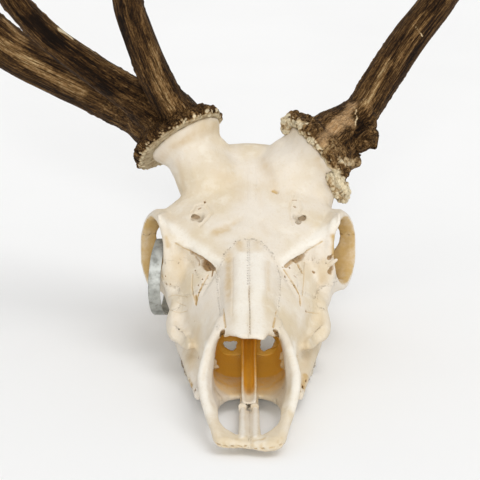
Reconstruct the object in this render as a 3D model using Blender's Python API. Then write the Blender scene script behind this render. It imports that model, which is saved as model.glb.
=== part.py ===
"""Skull of a red deer stag with both antlers, life size, lying on its cheek teeth and jugular processes.

Lengths below are millimetres in skull coordinates and become metres in mm(): x runs to the skull's
left, y from the tip of the nose to the back, z up from the floor that the teeth rest on.
"""

import math
import random

import bmesh
import bpy
import numpy as np
from mathutils import Matrix, Vector

MM = 0.001
GAP = 0.3  # between neighbouring pieces

# Driving dimensions of the skull
NASAL_TIP = (87, 64)  # y and z of the free end of the nasal bones
NASION = (214, 105)  # where the nasal bones meet the frontal bone
BREGMA = (312, 165.5)  # highest point of the roof, between the pedicles
ORBIT_CENTRE = (79.5, 249, 88)
ORBIT_RADIUS = 28
ORBIT_FACING = 22  # degrees that each eye socket looks forward of straight sideways
TOOTH_ROW_START = 133
TOOTH_ROW_CENTRE = 37.5  # from the midline to the middle of the first tooth
TOOTH_ROW_SPREAD = 0.115  # how much wider the row stands for each millimetre further back
TEETH = ((14, 13, 1), (14.5, 15, 1), (14, 17, 1), (19, 20, 2), (21.5, 21, 2), (20.5, 20, 2))
JUGULAR_TIP = (45, 367)
JUGULAR_RADIUS = 5.5

# Driving dimensions of the antlers: middle of the burr, direction of growth and sizes
RIGHT_BURR = {"centre": (-58.6, 310.6, 170), "axis": (-0.497, 0.412, 0.764), "radius": 39.5}
LEFT_BURR = {"centre": (60.5, 306, 157), "axis": (0.76, 0.18, 0.60), "radius": 38}
BURR_THICKNESS = 13
BURR_PEARLS = 18

# The identification band
BAND_WIDTH = 10
BAND_THICKNESS = 1.4

SKULL_VOXEL = 2.2
SKULL_TRIANGLES = 8000
TRIANGLES_KEPT = 0.62  # share of each bone's triangles kept after it is parted off


def mm(*point):
    """A point or vector given in millimetres, in metres."""
    return Vector(point) * MM


def mix(a, b, t):
    return a + (b - a) * t


def through(stations, steps):
    """Points on a smooth curve through the stations, with this many steps between each two."""
    rows = np.array(stations, float)
    before = np.vstack([2 * rows[0] - rows[1], rows, 2 * rows[-1] - rows[-2]])
    points = []
    for i in range(1, len(rows)):
        p0, p1, p2, p3 = before[i - 1 : i + 3]
        for k in range(steps):
            t = k / steps
            points.append(
                0.5
                * (
                    2 * p1
                    + (p2 - p0) * t
                    + (2 * p0 - 5 * p1 + 4 * p2 - p3) * t**2
                    + (3 * p1 - p0 - 3 * p2 + p3) * t**3
                )
            )
    points.append(rows[-1])
    return points


# Materials and objects


def material(name, colour, roughness, metallic=0.0):
    made = bpy.data.materials.new(name)
    made.use_nodes = True
    shader = made.node_tree.nodes["Principled BSDF"]
    shader.inputs["Base Color"].default_value = (*colour, 1)
    shader.inputs["Roughness"].default_value = roughness
    shader.inputs["Metallic"].default_value = metallic
    return made


def add_object(name, mesh):
    made = bpy.data.objects.new(name, mesh)
    bpy.context.scene.collection.objects.link(made)
    return made


def discard(objects):
    for old in objects:
        bpy.data.objects.remove(old)


def finish_mesh(name, bm):
    bmesh.ops.recalc_face_normals(bm, faces=bm.faces)
    mesh = bpy.data.meshes.new(name)
    bm.to_mesh(mesh)
    bm.free()
    return add_object(name, mesh)


def skin_rings(name, rings, closed=False):
    """A closed body over rings of points in millimetres; closed joins the last ring to the first."""
    bm = bmesh.new()
    loops = [[bm.verts.new(mm(*p)) for p in ring] for ring in rings]
    pairs = list(zip(loops, loops[1:]))
    if closed:
        pairs.append((loops[-1], loops[0]))
    sides = len(loops[0])
    for a, b in pairs:
        for i in range(sides):
            j = (i + 1) % sides
            bm.faces.new((a[i], a[j], b[j], b[i]))
    if not closed:
        bm.faces.new(loops[0][::-1])
        bm.faces.new(loops[-1])
    return finish_mesh(name, bm)


def ball(name, centre, radii, turn=(0, 0, 0), detail=3):
    """An ellipsoid with its radii along its own axes, turned by degrees about X, Y and Z."""
    bm = bmesh.new()
    bmesh.ops.create_icosphere(bm, subdivisions=detail, radius=1)
    turned = Matrix.Identity(4)
    for angle, axis in zip(turn, "XYZ"):
        turned = Matrix.Rotation(math.radians(angle), 4, axis) @ turned
    bmesh.ops.transform(bm, verts=bm.verts, matrix=Matrix.Diagonal((*mm(*radii), 1)))
    bmesh.ops.transform(bm, verts=bm.verts, matrix=Matrix.Translation(mm(*centre)) @ turned)
    return finish_mesh(name, bm)


def section(y, low, high, w_low, w_high, squareness, sides=36):
    """One upright cross-section ring: rounded, w_low half as wide at its foot and w_high at its top."""
    ring = []
    for k in range(sides):
        a = math.tau * k / sides
        c, s = math.cos(a), math.sin(a)
        across = math.copysign(abs(c) ** (2 / squareness), c)
        up = math.copysign(abs(s) ** (2 / squareness), s)
        height = (up + 1) / 2
        ring.append((across * mix(w_low, w_high, height), y, mix(low, high, height)))
    return ring


def loft(name, stations, squareness, steps=5):
    """A body along the skull from stations (y, low, high, half-width low down, half-width on top)."""
    return skin_rings(name, [section(*row, squareness) for row in through(stations, steps)])


def sweep(name, stations, steps=6, sides=12, closed=False, profile=None):
    """A tube through stations (x, y, z, radius), or (x, y, z, radius one way, radius the other)."""
    rows = through(stations, steps)
    if closed:
        rows = rows[:-1]
    points = [Vector(row[:3]) for row in rows]
    count = len(points)
    rings = []
    side = None
    for i, (row, point) in enumerate(zip(rows, points)):
        ahead = points[(i + 1) % count] if closed else points[min(i + 1, count - 1)]
        behind = points[i - 1] if closed or i else points[0]
        along = (ahead - behind).normalized()
        if side is None:
            side = along.cross(Vector((0, 0, 1)) if abs(along.z) < 0.9 else Vector((0, 1, 0)))
        side = (side - along * side.dot(along)).normalized()
        other = along.cross(side)
        r1, r2 = row[3], row[-1]
        ring = []
        for k in range(sides):
            a = math.tau * k / sides
            swell = profile(a, i / (count - 1)) if profile else 1
            ring.append(point + (side * math.cos(a) * r1 + other * math.sin(a) * r2) * swell)
        rings.append(ring)
    return skin_rings(name, rings, closed)


def mirrored(builder):
    """Builds a piece for the right side and the left; builder gets the sign of x."""
    return [piece for sign in (-1, 1) for piece in builder(sign)]


# Modifiers, applied at once


def apply_modifier(target, kind, **settings):
    modifier = target.modifiers.new(kind.lower(), kind)
    for key, value in settings.items():
        setattr(modifier, key, value)
    graph = bpy.context.evaluated_depsgraph_get()
    graph.update()
    mesh = bpy.data.meshes.new_from_object(target.evaluated_get(graph))
    target.modifiers.clear()
    old = target.data
    target.data = mesh
    bpy.data.meshes.remove(old)


def join(name, objects):
    bm = bmesh.new()
    for piece in objects:
        bm.from_mesh(piece.data)
    mesh = bpy.data.meshes.new(name)
    bm.to_mesh(mesh)
    bm.free()
    discard(objects)
    return add_object(name, mesh)


def combine(target, objects, operation, solver="EXACT"):
    """Applies one Boolean of the target with all the objects, and removes them."""
    group = bpy.data.collections.new("boolean")
    bpy.context.scene.collection.children.link(group)
    for piece in objects:
        group.objects.link(piece)
    apply_modifier(
        target,
        "BOOLEAN",
        operation=operation,
        operand_type="COLLECTION",
        collection=group,
        solver=solver,
    )
    bpy.data.collections.remove(group)
    discard(objects)
    return target


def blend(target, voxel, passes, factor=0.5):
    """Melts overlapping shells into one skin and smooths it."""
    apply_modifier(target, "REMESH", mode="VOXEL", voxel_size=voxel * MM, adaptivity=0)
    apply_modifier(target, "SMOOTH", factor=factor, iterations=passes)


def triangles(target):
    return len(target.data.loops) - 2 * len(target.data.polygons)


def lighten(target, wanted):
    apply_modifier(target, "TRIANGULATE")
    share = wanted / len(target.data.polygons)
    if share < 1:
        apply_modifier(target, "DECIMATE", ratio=share)


def shells(target):
    """The separate closed surfaces of a mesh, each as a new object, largest box first."""
    bm = bmesh.new()
    bm.from_mesh(target.data)
    bm.verts.ensure_lookup_table()
    left = set(bm.verts)
    groups = []
    while left:
        front = [left.pop()]
        group = set(front)
        while front:
            for edge in front.pop().link_edges:
                for vert in edge.verts:
                    if vert in left:
                        left.discard(vert)
                        group.add(vert)
                        front.append(vert)
        groups.append({v.index for v in group})
    made = []
    for n, group in enumerate(groups):
        copy = bm.copy()
        copy.verts.ensure_lookup_table()
        extra = [v for v in copy.verts if v.index not in group]
        bmesh.ops.delete(copy, geom=extra, context="VERTS")
        mesh = bpy.data.meshes.new(f"{target.name}_{n}")
        copy.to_mesh(mesh)
        copy.free()
        made.append(add_object(mesh.name, mesh))
    bm.free()
    return sorted(made, key=lambda o: -volume(o))


def volume(target):
    bm = bmesh.new()
    bm.from_mesh(target.data)
    size = bm.calc_volume()
    bm.free()
    return size


def keep_largest(target):
    found = shells(target)
    best = found[0]
    target.data = best.data
    discard(found)
    return target


def overlap(one, other):
    """The volume that two closed bodies share."""
    shared = add_object("shared", one.data.copy())
    combine(shared, [add_object("other", other.data.copy())], "INTERSECT")
    size = volume(shared)
    discard([shared])
    return size


def clear_of(target, neighbour, solver="EXACT"):
    """Cuts the target back where it comes closer than the gap to its neighbour."""
    grown = add_object("grown", neighbour.data.copy())
    apply_modifier(grown, "DISPLACE", strength=GAP * MM, mid_level=0)
    combine(target, [grown], "DIFFERENCE", solver)
    keep_largest(target)


def ease_apart(bodies):
    """Undoes the small overlaps that lightening leaves between neighbours."""
    for i, one in enumerate(bodies):
        for other in bodies[i + 1 :]:
            if overlap(one, other) > 0:
                clear_of(one, other)


# The skull, bone by bone as volumes that are melted together and later parted along the sutures


def roof_line(y):
    """Height of the roof's midline above the floor, along the nasal bones and the forehead."""
    if y < NASION[0]:
        t = (y - NASAL_TIP[0]) / (NASION[0] - NASAL_TIP[0])
        return mix(NASAL_TIP[1], NASION[1], t)
    t = (y - NASION[0]) / (BREGMA[0] - NASION[0])
    return mix(NASION[1], BREGMA[1], t)


def muzzle_shell():
    """The side walls of the snout round the open nose cavity."""
    walls = loft(
        "muzzle",
        [
            (2, 5, 14, 25.5, 25.5),
            (20, 5, 17, 27, 26),
            (36, 6, 24, 31, 30.4),
            (52, 7, 31, 35, 34),
            (68, 8, 38, 38.5, 36.5),
            (84, 9, 48, 39.5, 34),
            (100, 9, 58, 40.5, 30),
            (118, 9, 68, 42.5, 25.5),
            (133, 9, 73, 43.6, 26),
            (150, 10, 78, 47.5, 30),
            (170, 10, 84, 55, 37),
            (190, 11, 91, 66, 43),
            (208, 13, 96, 66, 52),
            (226, 18, 101, 61, 58),
            (244, 34, 106, 50, 52),
        ],
        squareness=2.7,
    )
    cavity = loft(
        "nose_cavity",
        [
            (-20, 11, 90, 18, 18),
            (8, 11, 90, 19, 19),
            (20, 11, 90, 23, 22),
            (36, 11.5, 90, 26.5, 22),
            (52, 12, 90, 30, 21),
            (68, 12.5, 90, 32.5, 19),
            (84, 13, 90, 33, 17),
            (100, 13, 90, 33.5, 17.5),
            (112, 13.5, 80, 34, 18),
            (120, 13.5, 66, 34.5, 20),
            (133, 14, 68, 34, 19.5),
            (150, 14, 73, 35, 21),
            (170, 14, 80, 35, 25),
            (190, 14, 83, 32, 26),
            (208, 12, 76, 27, 23),
            (232, 6, 60, 24, 19),
            (262, 0, 50, 21, 16),
        ],
        squareness=3.2,
    )
    return combine(walls, [cavity], "DIFFERENCE")


def nasal_arch():
    """The two nasal bones as one curved sheet over the nose."""

    def stations(drop, depth, narrower):
        ends = [NASAL_TIP[0], 98, 120, 150, 180, 200, 216]
        widths = [19.5, 20.5, 21, 21.5, 22.5, 21, 14]
        return [
            (y, roof_line(y) - drop - depth, roof_line(y) - drop, w - narrower, w - narrower)
            for y, w in zip(ends, widths)
        ]

    sheet_of_bone = loft("nasal", stations(0, 20, 0), squareness=2.2)
    under = stations(4.5, 22, 3)
    under[0] = (NASAL_TIP[0] - 10, *under[0][1:])
    worn_right = [(-8, 88.5), (-12.5, 94.5), (-16, 99), (-18.5, 105), (-27, 112), (-27, 70), (-8, 70)]
    worn_left = [(12.3, 86), (14, 95), (16.5, 101.5), (19, 105.5), (27, 112), (27, 70), (12.3, 70)]
    worn = [prism("worn", outline, "z", 30, 100) for outline in (worn_right, worn_left)]
    return combine(sheet_of_bone, [loft("under_nasal", under, squareness=2.2), *worn], "DIFFERENCE")


def face_volumes():
    def edges(sign):
        rim = [
            (23, 6, 11, 4.2),
            (26, 20, 16, 4),
            (31, 38, 23.5, 4.2),
            (34.4, 54, 31, 4.4),
            (35.5, 70, 38.5, 4.6),
            (33, 84, 47, 4.4),
            (29.5, 98, 55.5, 4.2),
            (25, 110, 62, 4),
            (22, 124, 68, 3.6),
        ]
        ridge = [
            (38.5, 92, 14, 4.5, 5),
            (40.3, 115, 13, 5, 5),
            (42.4, 135, 15, 6.6, 7),
            (48, 180, 17, 8, 8),
            (53, 222, 20, 10, 9),
            (50, 238, 26, 8, 9),
        ]
        crest = [(46, 146, 36, 3, 4), (55.5, 168, 37, 5, 8), (62, 187, 40, 6, 10), (60, 208, 47, 6, 11)]
        return [
            sweep("nose_rim", [(sign * x, y, z, r) for x, y, z, r in rim]),
            sweep("tooth_ridge", [(sign * x, y, z, a, b) for x, y, z, a, b in ridge]),
            sweep("face_crest", [(sign * x, y, z, a, b) for x, y, z, a, b in crest]),
        ]

    lip = ball("left_lip", (13, 3, 8.5), (13, 5.5, 5))
    return [muzzle_shell(), nasal_arch(), lip, *mirrored(edges)]


def roof_volumes():
    """Forehead, braincase, occiput and the underside of the skull."""
    forehead = loft(
        "forehead",
        [
            (192, 82, 97, 24, 24),
            (200, 83, 100.5, 33, 33),
            (212, 86, 106, 45, 46),
            (226, 89, 114, 56, 57),
            (240, 93, 122.5, 65, 66),
            (252, 98, 129, 75, 64),
            (262, 102, 135.5, 80, 62),
            (270, 104, 139.5, 77, 57),
            (278, 106, 144, 62, 54),
            (286, 108, 150, 53, 51),
            (298, 108, 158, 52, 50),
            (312, 108, 165.5, 54, 50),
            (328, 110, 164.5, 50, 50),
        ],
        squareness=2.1,
    )
    braincase = loft(
        "braincase",
        [
            (262, 66, 118, 24, 30),
            (280, 60, 142, 34, 42),
            (300, 56, 158, 43, 49),
            (322, 53, 165, 49, 52),
            (344, 52, 156, 52, 50),
            (360, 50, 144, 52, 46),
            (376, 48, 128, 48, 40),
            (388, 48, 112, 38, 30),
        ],
        squareness=2.2,
    )
    core = loft(
        "orbit_wall",
        [(206, 24, 96, 40, 44), (228, 30, 106, 40, 42), (250, 44, 118, 26, 36), (282, 52, 128, 24, 34)],
        squareness=2.4,
    )
    floor = [(262, 46, 70, 12, 15), (320, 42, 66, 18, 22), (392, 44, 66, 20, 24)]
    base = loft("base", floor, squareness=2.4)
    crest = sweep(
        "nuchal_crest",
        [(-56, 368, 68, 4.5), (-49, 382, 94, 4.5), (-26, 389, 115, 5), (0, 391, 121, 6)]
        + [(26, 389, 115, 5), (49, 382, 94, 4.5), (56, 368, 68, 4.5)],
    )
    keel = sweep("keel", [(0, 391, 120, 6, 5), (0, 394, 98, 8, 6), (0, 394, 82, 14, 6)])

    def sides(sign):
        x_tip, y_tip = JUGULAR_TIP
        jugular = [
            (45, 380, 72, 8, 11),
            (46, 379, 50, 5.5, 11),
            (46.5, 375, 28, 4.2, 8.5),
            (x_tip, y_tip, -4, JUGULAR_RADIUS - 1, JUGULAR_RADIUS + 1.5),
        ]
        plate = [(28, 236, 28, 4, 9), (26, 256, 34, 3.4, 15), (24.5, 276, 42, 3.4, 14)]
        plate.append((20, 298, 52, 4, 10))
        hook = [(25, 268, 34, 3.4), (25.5, 273, 22, 2.6), (26, 280, 14, 2.2)]
        return [
            ball("condyle", (sign * 20, 394, 54), (12, 13, 18), (20, 0, sign * 25)),
            ball("bulla", (sign * 30, 338, 45), (10.5, 17, 12)),
            ball("ear_root", (sign * 51, 350, 72), (11, 20, 18)),
            ball("mastoid", (sign * 50, 368, 78), (8, 12, 24)),
            sweep("jugular", [(sign * x, y, z, a, b) for x, y, z, a, b in jugular]),
            sweep("plate", [(sign * x, y, z, a, b) for x, y, z, a, b in plate]),
            sweep("hook", [(sign * x, y, z, r) for x, y, z, r in hook]),
            ball("jaw_joint", (sign * 60, 320, 62), (20, 12, 6.5)),
        ]

    return [forehead, braincase, core, base, crest, keel, *mirrored(sides)]


def orbit_point(sign, angle, reach, aside=0):
    """A point on the eye socket's circle: 0 degrees is its front, 90 its top; aside is outward."""
    facing = math.radians(ORBIT_FACING)
    forward = Vector((-math.sin(facing), -math.cos(facing), 0))
    upward = Vector((-0.07, 0, 1.0))
    outward = Vector((math.cos(facing), -math.sin(facing), 0.03))
    a = math.radians(angle)
    p = Vector(ORBIT_CENTRE) + (forward * math.cos(a) + upward * math.sin(a)) * reach + outward * aside
    return (sign * p.x, p.y, p.z)


def orbit_volumes():
    """The rim of each eye socket, deep at its back, and the cheek arch behind it."""

    def eye(sign):
        rim = []
        for angle in range(0, 361, 30):
            back = max(0.0, -math.cos(math.radians(angle))) ** 0.7
            place = orbit_point(sign, angle, ORBIT_RADIUS + 2.5 + back, -1 - 9 * back)
            rim.append((*place, 4.6 + 8.5 * back, 4.2 + 0.6 * back))
        arch = [
            (80, 256, 63, 4, 6.5),
            (84, 274, 61, 4, 8.5),
            (82, 294, 64, 3.5, 8),
            (74, 312, 68, 4, 7.5),
            (62, 328, 72, 6, 7),
            (48, 340, 78, 8, 9),
        ]
        cheek = [
            (57, 206, 44, 6, 13),
            (61, 220, 52, 6, 13),
            (67, 235, 60, 6, 9),
            (76, 250, 64, 5, 6.5),
        ]
        return [
            sweep("orbit_rim", rim, steps=3, closed=True),
            sweep("cheek_arch", [(sign * x, y, z, a, b) for x, y, z, a, b in arch]),
            sweep("cheek", [(sign * x, y, z, a, b) for x, y, z, a, b in cheek]),
            ball("tear_bone", (sign * 60, 223, 74), (13, 9, 19), (0, 0, -sign * ORBIT_FACING)),
        ]

    return mirrored(eye)


def pedicle_volumes():
    """The bony stalks that carry the antlers; the left one is short, wide and swollen."""

    def stalk(burr, root_radius, neck_radius, length, aside=0):
        axis = Vector(burr["axis"]).normalized()
        top = Vector(burr["centre"]) + axis * 8 + Vector((aside, 0, 0))
        foot = top - axis * length
        root = foot + axis * length * 0.2
        waist = top - axis * length * 0.4
        radii = (root_radius * 0.6, root_radius, neck_radius, neck_radius + 2)
        return [(*point, r) for point, r in zip((foot, root, waist, top), radii)]

    return [
        sweep("pedicle_right", stalk(RIGHT_BURR, 28, 24.5, 70, aside=4), sides=20),
        sweep("pedicle_left", stalk(LEFT_BURR, 31, 28.5, 60), sides=20),
        ball("swelling", (50, 302, 128), (18, 20, 24)),
        ball("swelling_front", (57, 284, 125), (17, 18, 20)),
        ball("ridge_right", (-30, 306, 158), (15, 16, 18.5)),
        ball("ridge_left", (32, 306, 156), (15, 16, 18.5)),
    ]


def prism(name, outline, axis, low, high):
    """A claim: an outline in the two directions beside the axis, filled from low to high along it."""

    def place(point, level):
        level = level(point) if callable(level) else level
        row = list(point)
        row.insert("xyz".index(axis), level)
        return row

    bm = bmesh.new()
    foot = [bm.verts.new(mm(*place(p, low))) for p in outline]
    top = [bm.verts.new(mm(*place(p, high))) for p in outline]
    count = len(outline)
    for i in range(count):
        j = (i + 1) % count
        bm.faces.new((foot[i], foot[j], top[j], top[i]))
    bm.faces.new(foot[::-1])
    bm.faces.new(top)
    made = finish_mesh(name, bm)
    apply_modifier(made, "TRIANGULATE")
    return made


def hollow_cutters():
    """Eye sockets, the pits before them, and the other openings of the skull."""
    widths = ((16, 8), (20, 16), (27, 22), (38, 24), (52, 24.5), (70, 23.5), (82, 20.5), (92, 15), (98, 7))
    fissure = loft("palate_gap", [(y, -8, 23, w, w) for y, w in widths], squareness=7, steps=2)
    choana = loft("choana", [(226, -10, 30, 22.5, 22), (250, -10, 42, 22, 18), (290, -10, 38, 20, 15)], 3)
    arched = [(60, -8, 8, 20, 18), (150, -8, 11.5, 25, 22), (236, -8, 12.5, 36, 30)]
    vault = loft("palate_vault", arched, squareness=2.4)
    magnum = ball("foramen_magnum", (0, 402, 64), (13, 34, 12))
    floor = prism("floor", [(-150, -50), (150, -50), (150, 450), (-150, 450)], "z", -60, 0)

    def sides(sign):
        x, y, z = orbit_point(sign, 180, 2, -5)
        pit = [(47, 214, 97), (23, 193, 91), (43, 162, 63)]
        outer = [Vector(p) + Vector((5, -20, 10)) for p in pit]
        inner = [Vector(p) + Vector((-1.1, 3.2, -1.9)) for p in pit]
        rings = [[(sign * p.x, p.y, p.z) for p in ring] for ring in (outer, inner)]
        return [
            ball("orbit", (x, y, z), (30, 25, 25.5), (0, 0, -sign * ORBIT_FACING)),
            ball("fossa", (sign * 66, 296, 97), (19, 24, 25)),
            ball("tear_pit", (sign * 68, 201, 78), (8, 13, 9), (0, 0, sign * 14)),
            ball("cheek_hollow", (sign * 66, 146, 46), (19, 32, 20)),
            skin_rings("vacuity", rings),
            sweep("brow_hole", [(sign * 41, 234, 150, 6, 4), (sign * 43, 245, 106, 6, 4)], 2),
            sweep("lip_hole", [(sign * 46, 118, 33, 3.4), (sign * 28, 140, 37, 3.4)], 2),
        ]

    return [fissure, choana, vault, magnum, floor, *mirrored(sides)]


def burr_frame(burr):
    """A matrix that puts a body built round the z axis onto the burr."""
    turned = Vector(burr["axis"]).to_track_quat("Z", "Y").to_matrix().to_4x4()
    return Matrix.Translation(mm(*burr["centre"])) @ turned


def drum(name, burr, radius, low, high, sides=32):
    rings = []
    for level in (low, high):
        ring = [math.tau * k / sides for k in range(sides)]
        rings.append([(radius * math.cos(a), radius * math.sin(a), level) for a in ring])
    made = skin_rings(name, rings)
    made.data.transform(burr_frame(burr))
    return made


def skull_master():
    """All the skull's bone as one body, before it is parted along its sutures."""
    rear = join("rear", roof_volumes() + pedicle_volumes())
    blend(rear, SKULL_VOXEL, passes=16)
    bone = join("skull", [rear, *face_volumes(), *orbit_volumes()])
    blend(bone, SKULL_VOXEL, passes=5)
    combine(bone, hollow_cutters(), "DIFFERENCE")
    blend(bone, 1.8, passes=3)
    tops = [drum("burr_seat", burr, 60, 0, 40) for burr in (RIGHT_BURR, LEFT_BURR)]
    floor = prism("floor", [(-150, -50), (150, -50), (150, 450), (-150, 450)], "z", -60, 0)
    keep_largest(bone)
    lighten(bone, SKULL_TRIANGLES)
    combine(bone, [*tops, floor], "DIFFERENCE")
    return bone


def is_inside(point, closed_mesh):
    """Whether a point is inside a closed mesh, by counting the walls that a ray meets."""
    direction = Vector((0.31, 0.52, 0.79)).normalized()
    walls = 0
    start = point.copy()
    for _ in range(60):
        hit, place, _, _ = closed_mesh.ray_cast(start, direction)
        if not hit:
            break
        walls += 1
        start = place + direction * 1e-6
    return walls % 2 == 1


def part_off(body, claim, name):
    """Parts the body along the claim's walls and returns the bone inside it; the body keeps the rest."""
    inside_test = claim.copy()
    inside_test.data = claim.data.copy()
    bpy.context.scene.collection.objects.link(inside_test)
    apply_modifier(claim, "SOLIDIFY", thickness=GAP * MM, offset=0, use_even_offset=True)
    combine(body, [claim], "DIFFERENCE")
    bpy.context.evaluated_depsgraph_get().update()
    inside, outside = [], []
    for piece in shells(body):
        points = [v.co for v in piece.data.vertices]
        votes = sum(is_inside(p, inside_test) for p in points[:: max(1, len(points) // 25)])
        (inside if votes * 2 > len(points[:: max(1, len(points) // 25)]) else outside).append(piece)
    bone = inside[0]
    bone.name = name
    body.data = outside[0].data
    discard(inside[1:] + outside + [inside_test])
    return bone


def part_halves(body, name):
    """Parts a bone along the midline into its right and left halves."""
    middle = prism("middle", [(-100, -200), (500, -200), (500, 400), (-100, 400)], "x", -GAP / 2, GAP / 2)
    combine(body, [middle], "DIFFERENCE")
    halves = {}
    for piece in shells(body):
        side = "right" if sum(v.co.x for v in piece.data.vertices) < 0 else "left"
        halves.setdefault(side, []).append(piece)
    made = []
    for side, pieces in halves.items():
        pieces[0].name = f"{name}_{side}"
        made.append(pieces[0])
        discard(pieces[1:])
    discard([body])
    return made


def both_sides(outline, near, far, low_name, body):
    """Parts off the same bone on each side; near and far are its distances from the midline."""
    made = []
    for sign, side in ((-1, "right"), (1, "left")):
        claim = prism("claim", outline, "x", sign * near, sign * far)
        made.append(part_off(body, claim, f"{low_name}_{side}"))
    return made


def part_bones(body):
    """Parts the skull into its bones; each outline is in y and z, seen from the side."""

    def through_skull(outline, name):
        return part_off(body, prism("claim", outline, "x", -130, 130), name)

    nasal_outline = [(-24, 70), (24, 70), (24, 182), (19, 200), (9, 212), (0, 215)]
    nasal_outline += [(-9, 212), (-19, 200), (-24, 182)]
    nasal_claim = prism(
        "claim", nasal_outline, "z", lambda p: roof_line(p[1]) - 13, lambda p: roof_line(p[1]) + 20
    )
    bones = part_halves(part_off(body, nasal_claim, "nasals"), "nasal_bone")
    frontal = [(186, 76), (216, 86), (240, 92), (276, 96), (306, 112), (334, 130), (340, 150)]
    frontal += [(340, 260), (170, 260), (170, 100)]
    bones.append(through_skull(frontal, "frontal_bone"))
    snout = [(-20, -20), (66, -20), (78, 12), (100, 42), (122, 62), (138, 82), (130, 110), (-20, 110)]
    premaxillae = through_skull(snout, "premaxilla")
    bones += part_halves(premaxillae, "premaxilla")
    occiput = [(356, -20), (357, 36), (364, 66), (378, 86), (382, 108), (386, 140), (440, 140), (440, -20)]
    bones.append(through_skull(occiput, "occipital_bone"))
    parietal = [(330, 100), (400, 100), (400, 150), (344, 220), (330, 220)]
    bones.append(through_skull(parietal, "parietal_bone"))
    temporal = [(303, 20), (390, 20), (390, 108), (303, 108)]
    bones += both_sides(temporal, 24, 130, "temporal_bone", body)
    lacrimal = [(172, 78), (198, 62), (216, 68), (240, 84), (244, 108), (172, 108)]
    bones += both_sides(lacrimal, 38, 130, "lacrimal_bone", body)
    zygomatic = [(192, 60), (206, 26), (320, 26), (320, 108), (252, 108), (230, 70)]
    bones += both_sides(zygomatic, 54, 130, "zygomatic_bone", body)
    upper_jaw = [(40, -30), (238, -30), (238, 30), (226, 60), (220, 110), (40, 110)]
    bones += part_halves(through_skull(upper_jaw, "maxilla"), "maxilla")
    palatine = [(230, -30), (300, -30), (300, 52), (262, 56), (230, 46)]
    bones.append(through_skull(palatine, "palatine_bone"))
    body.name = "sphenoid_bone"
    return [*bones, body]


# Small bones and teeth


def tooth(name, sign, start, length, width, lobes):
    """One cheek tooth, its crown rounded by as many lobes as it has, worn flat where it rests."""
    middle_y = start + length / 2
    middle_x = TOOTH_ROW_CENTRE + (middle_y - TOOTH_ROW_START) * TOOTH_ROW_SPREAD
    sides = 14
    rings = []
    for z, grow in ((20, 0.86), (7, 1.0), (1.2, 0.97), (0, 0.88)):
        ring = []
        for k in range(sides):
            a = math.tau * k / sides
            along = math.copysign(abs(math.cos(a)) ** 0.6, math.cos(a))
            across = math.copysign(abs(math.sin(a)) ** 0.6, math.sin(a))
            pinch = 1 - 0.13 * (lobes - 1) * math.exp(-((along / 0.25) ** 2))
            x = middle_x + across * width / 2 * grow * pinch
            y = middle_y + along * (length / 2 - 0.35) * grow
            ring.append((sign * x, y, z))
        rings.append(ring)
    return skin_rings(name, rings)


def add_teeth(maxilla, sign):
    teeth = []
    start = TOOTH_ROW_START
    for n, (length, width, lobes) in enumerate(TEETH):
        teeth.append(tooth(f"tooth_{n}", sign, start, length, width, lobes))
        start += length
    combine(maxilla, teeth, "UNION")


def add_palate_process(premaxilla, sign):
    """The slender inner process between the two openings of the front palate, and the front lip."""
    stations = ((5, 8, 10, 4, 4), (4.6, 40, 10, 3.4, 3.2), (4.2, 103, 12, 3, 2.2))
    process = sweep("process", [(sign * x, y, z, a, b) for x, y, z, a, b in stations])
    combine(premaxilla, [process], "UNION")


def vomer():
    """The trough-shaped bone that stands in the middle of the nose."""
    foot = 14.6
    rings = []
    for y, top, half in (
        (73, 17.4, 5.6),
        (80, 18.4, 6.2),
        (100, 24.5, 6.2),
        (122, 36.5, 6.3),
        (150, 50, 6.6),
        (178, 54, 6),
        (204, 44, 3.4),
    ):
        under = max(foot + 0.2, top - 6.5)
        inside = max(foot + 1.1, top - 4.4)
        side = [(2.2, foot), (2.5, under), (half * 0.9, under + 1.2), (half, top), (half - 1.8, top)]
        side.append((half * 0.42, inside))
        left = [(x, y, z) for x, z in side]
        right = [(-x, y, z) for x, z in reversed(side)]
        rings.append([*left, (0, y, inside - 0.2), *right])
    made = skin_rings("vomer", rings)
    apply_modifier(made, "TRIANGULATE")
    return made


# Antlers


def dent(angle, middle, width, depth):
    """A soft dip round one angle of a rim."""
    return depth * math.exp(-(((angle - middle) / width) ** 2))


def coronet(name, burr, seed, swell):
    """The ring of pearls at an antler's foot; swell(angle) makes an overgrown side."""
    rng = random.Random(seed)
    per_pearl = 3
    sides = BURR_PEARLS * per_pearl
    bumps = [rng.uniform(0.7, 1.35) for _ in range(BURR_PEARLS)]
    rings = []
    for level, reach, pearl in (
        (GAP, 0.86, 0.0),
        (GAP, 1.0, 0.7),
        (4, 1.04, 1.0),
        (8, 1.0, 1.0),
        (BURR_THICKNESS, 0.87, 0.5),
        (BURR_THICKNESS + 5, 0.70, 0.0),
    ):
        ring = []
        for k in range(sides):
            a = math.tau * k / sides
            bump = bumps[k // per_pearl] * (0, 3.4, 3.4)[k % per_pearl]
            r = burr["radius"] * reach * swell(a) + bump * pearl
            ring.append((r * math.cos(a), r * math.sin(a), level))
        rings.append(ring)
    made = skin_rings(name, rings)
    made.data.transform(burr_frame(burr))
    return made


def rod(name, stations, sides=10, steps=2):
    return sweep(name, stations, steps=steps, sides=sides, profile=lambda a, t: 1 + 0.05 * math.cos(3 * a))


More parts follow.
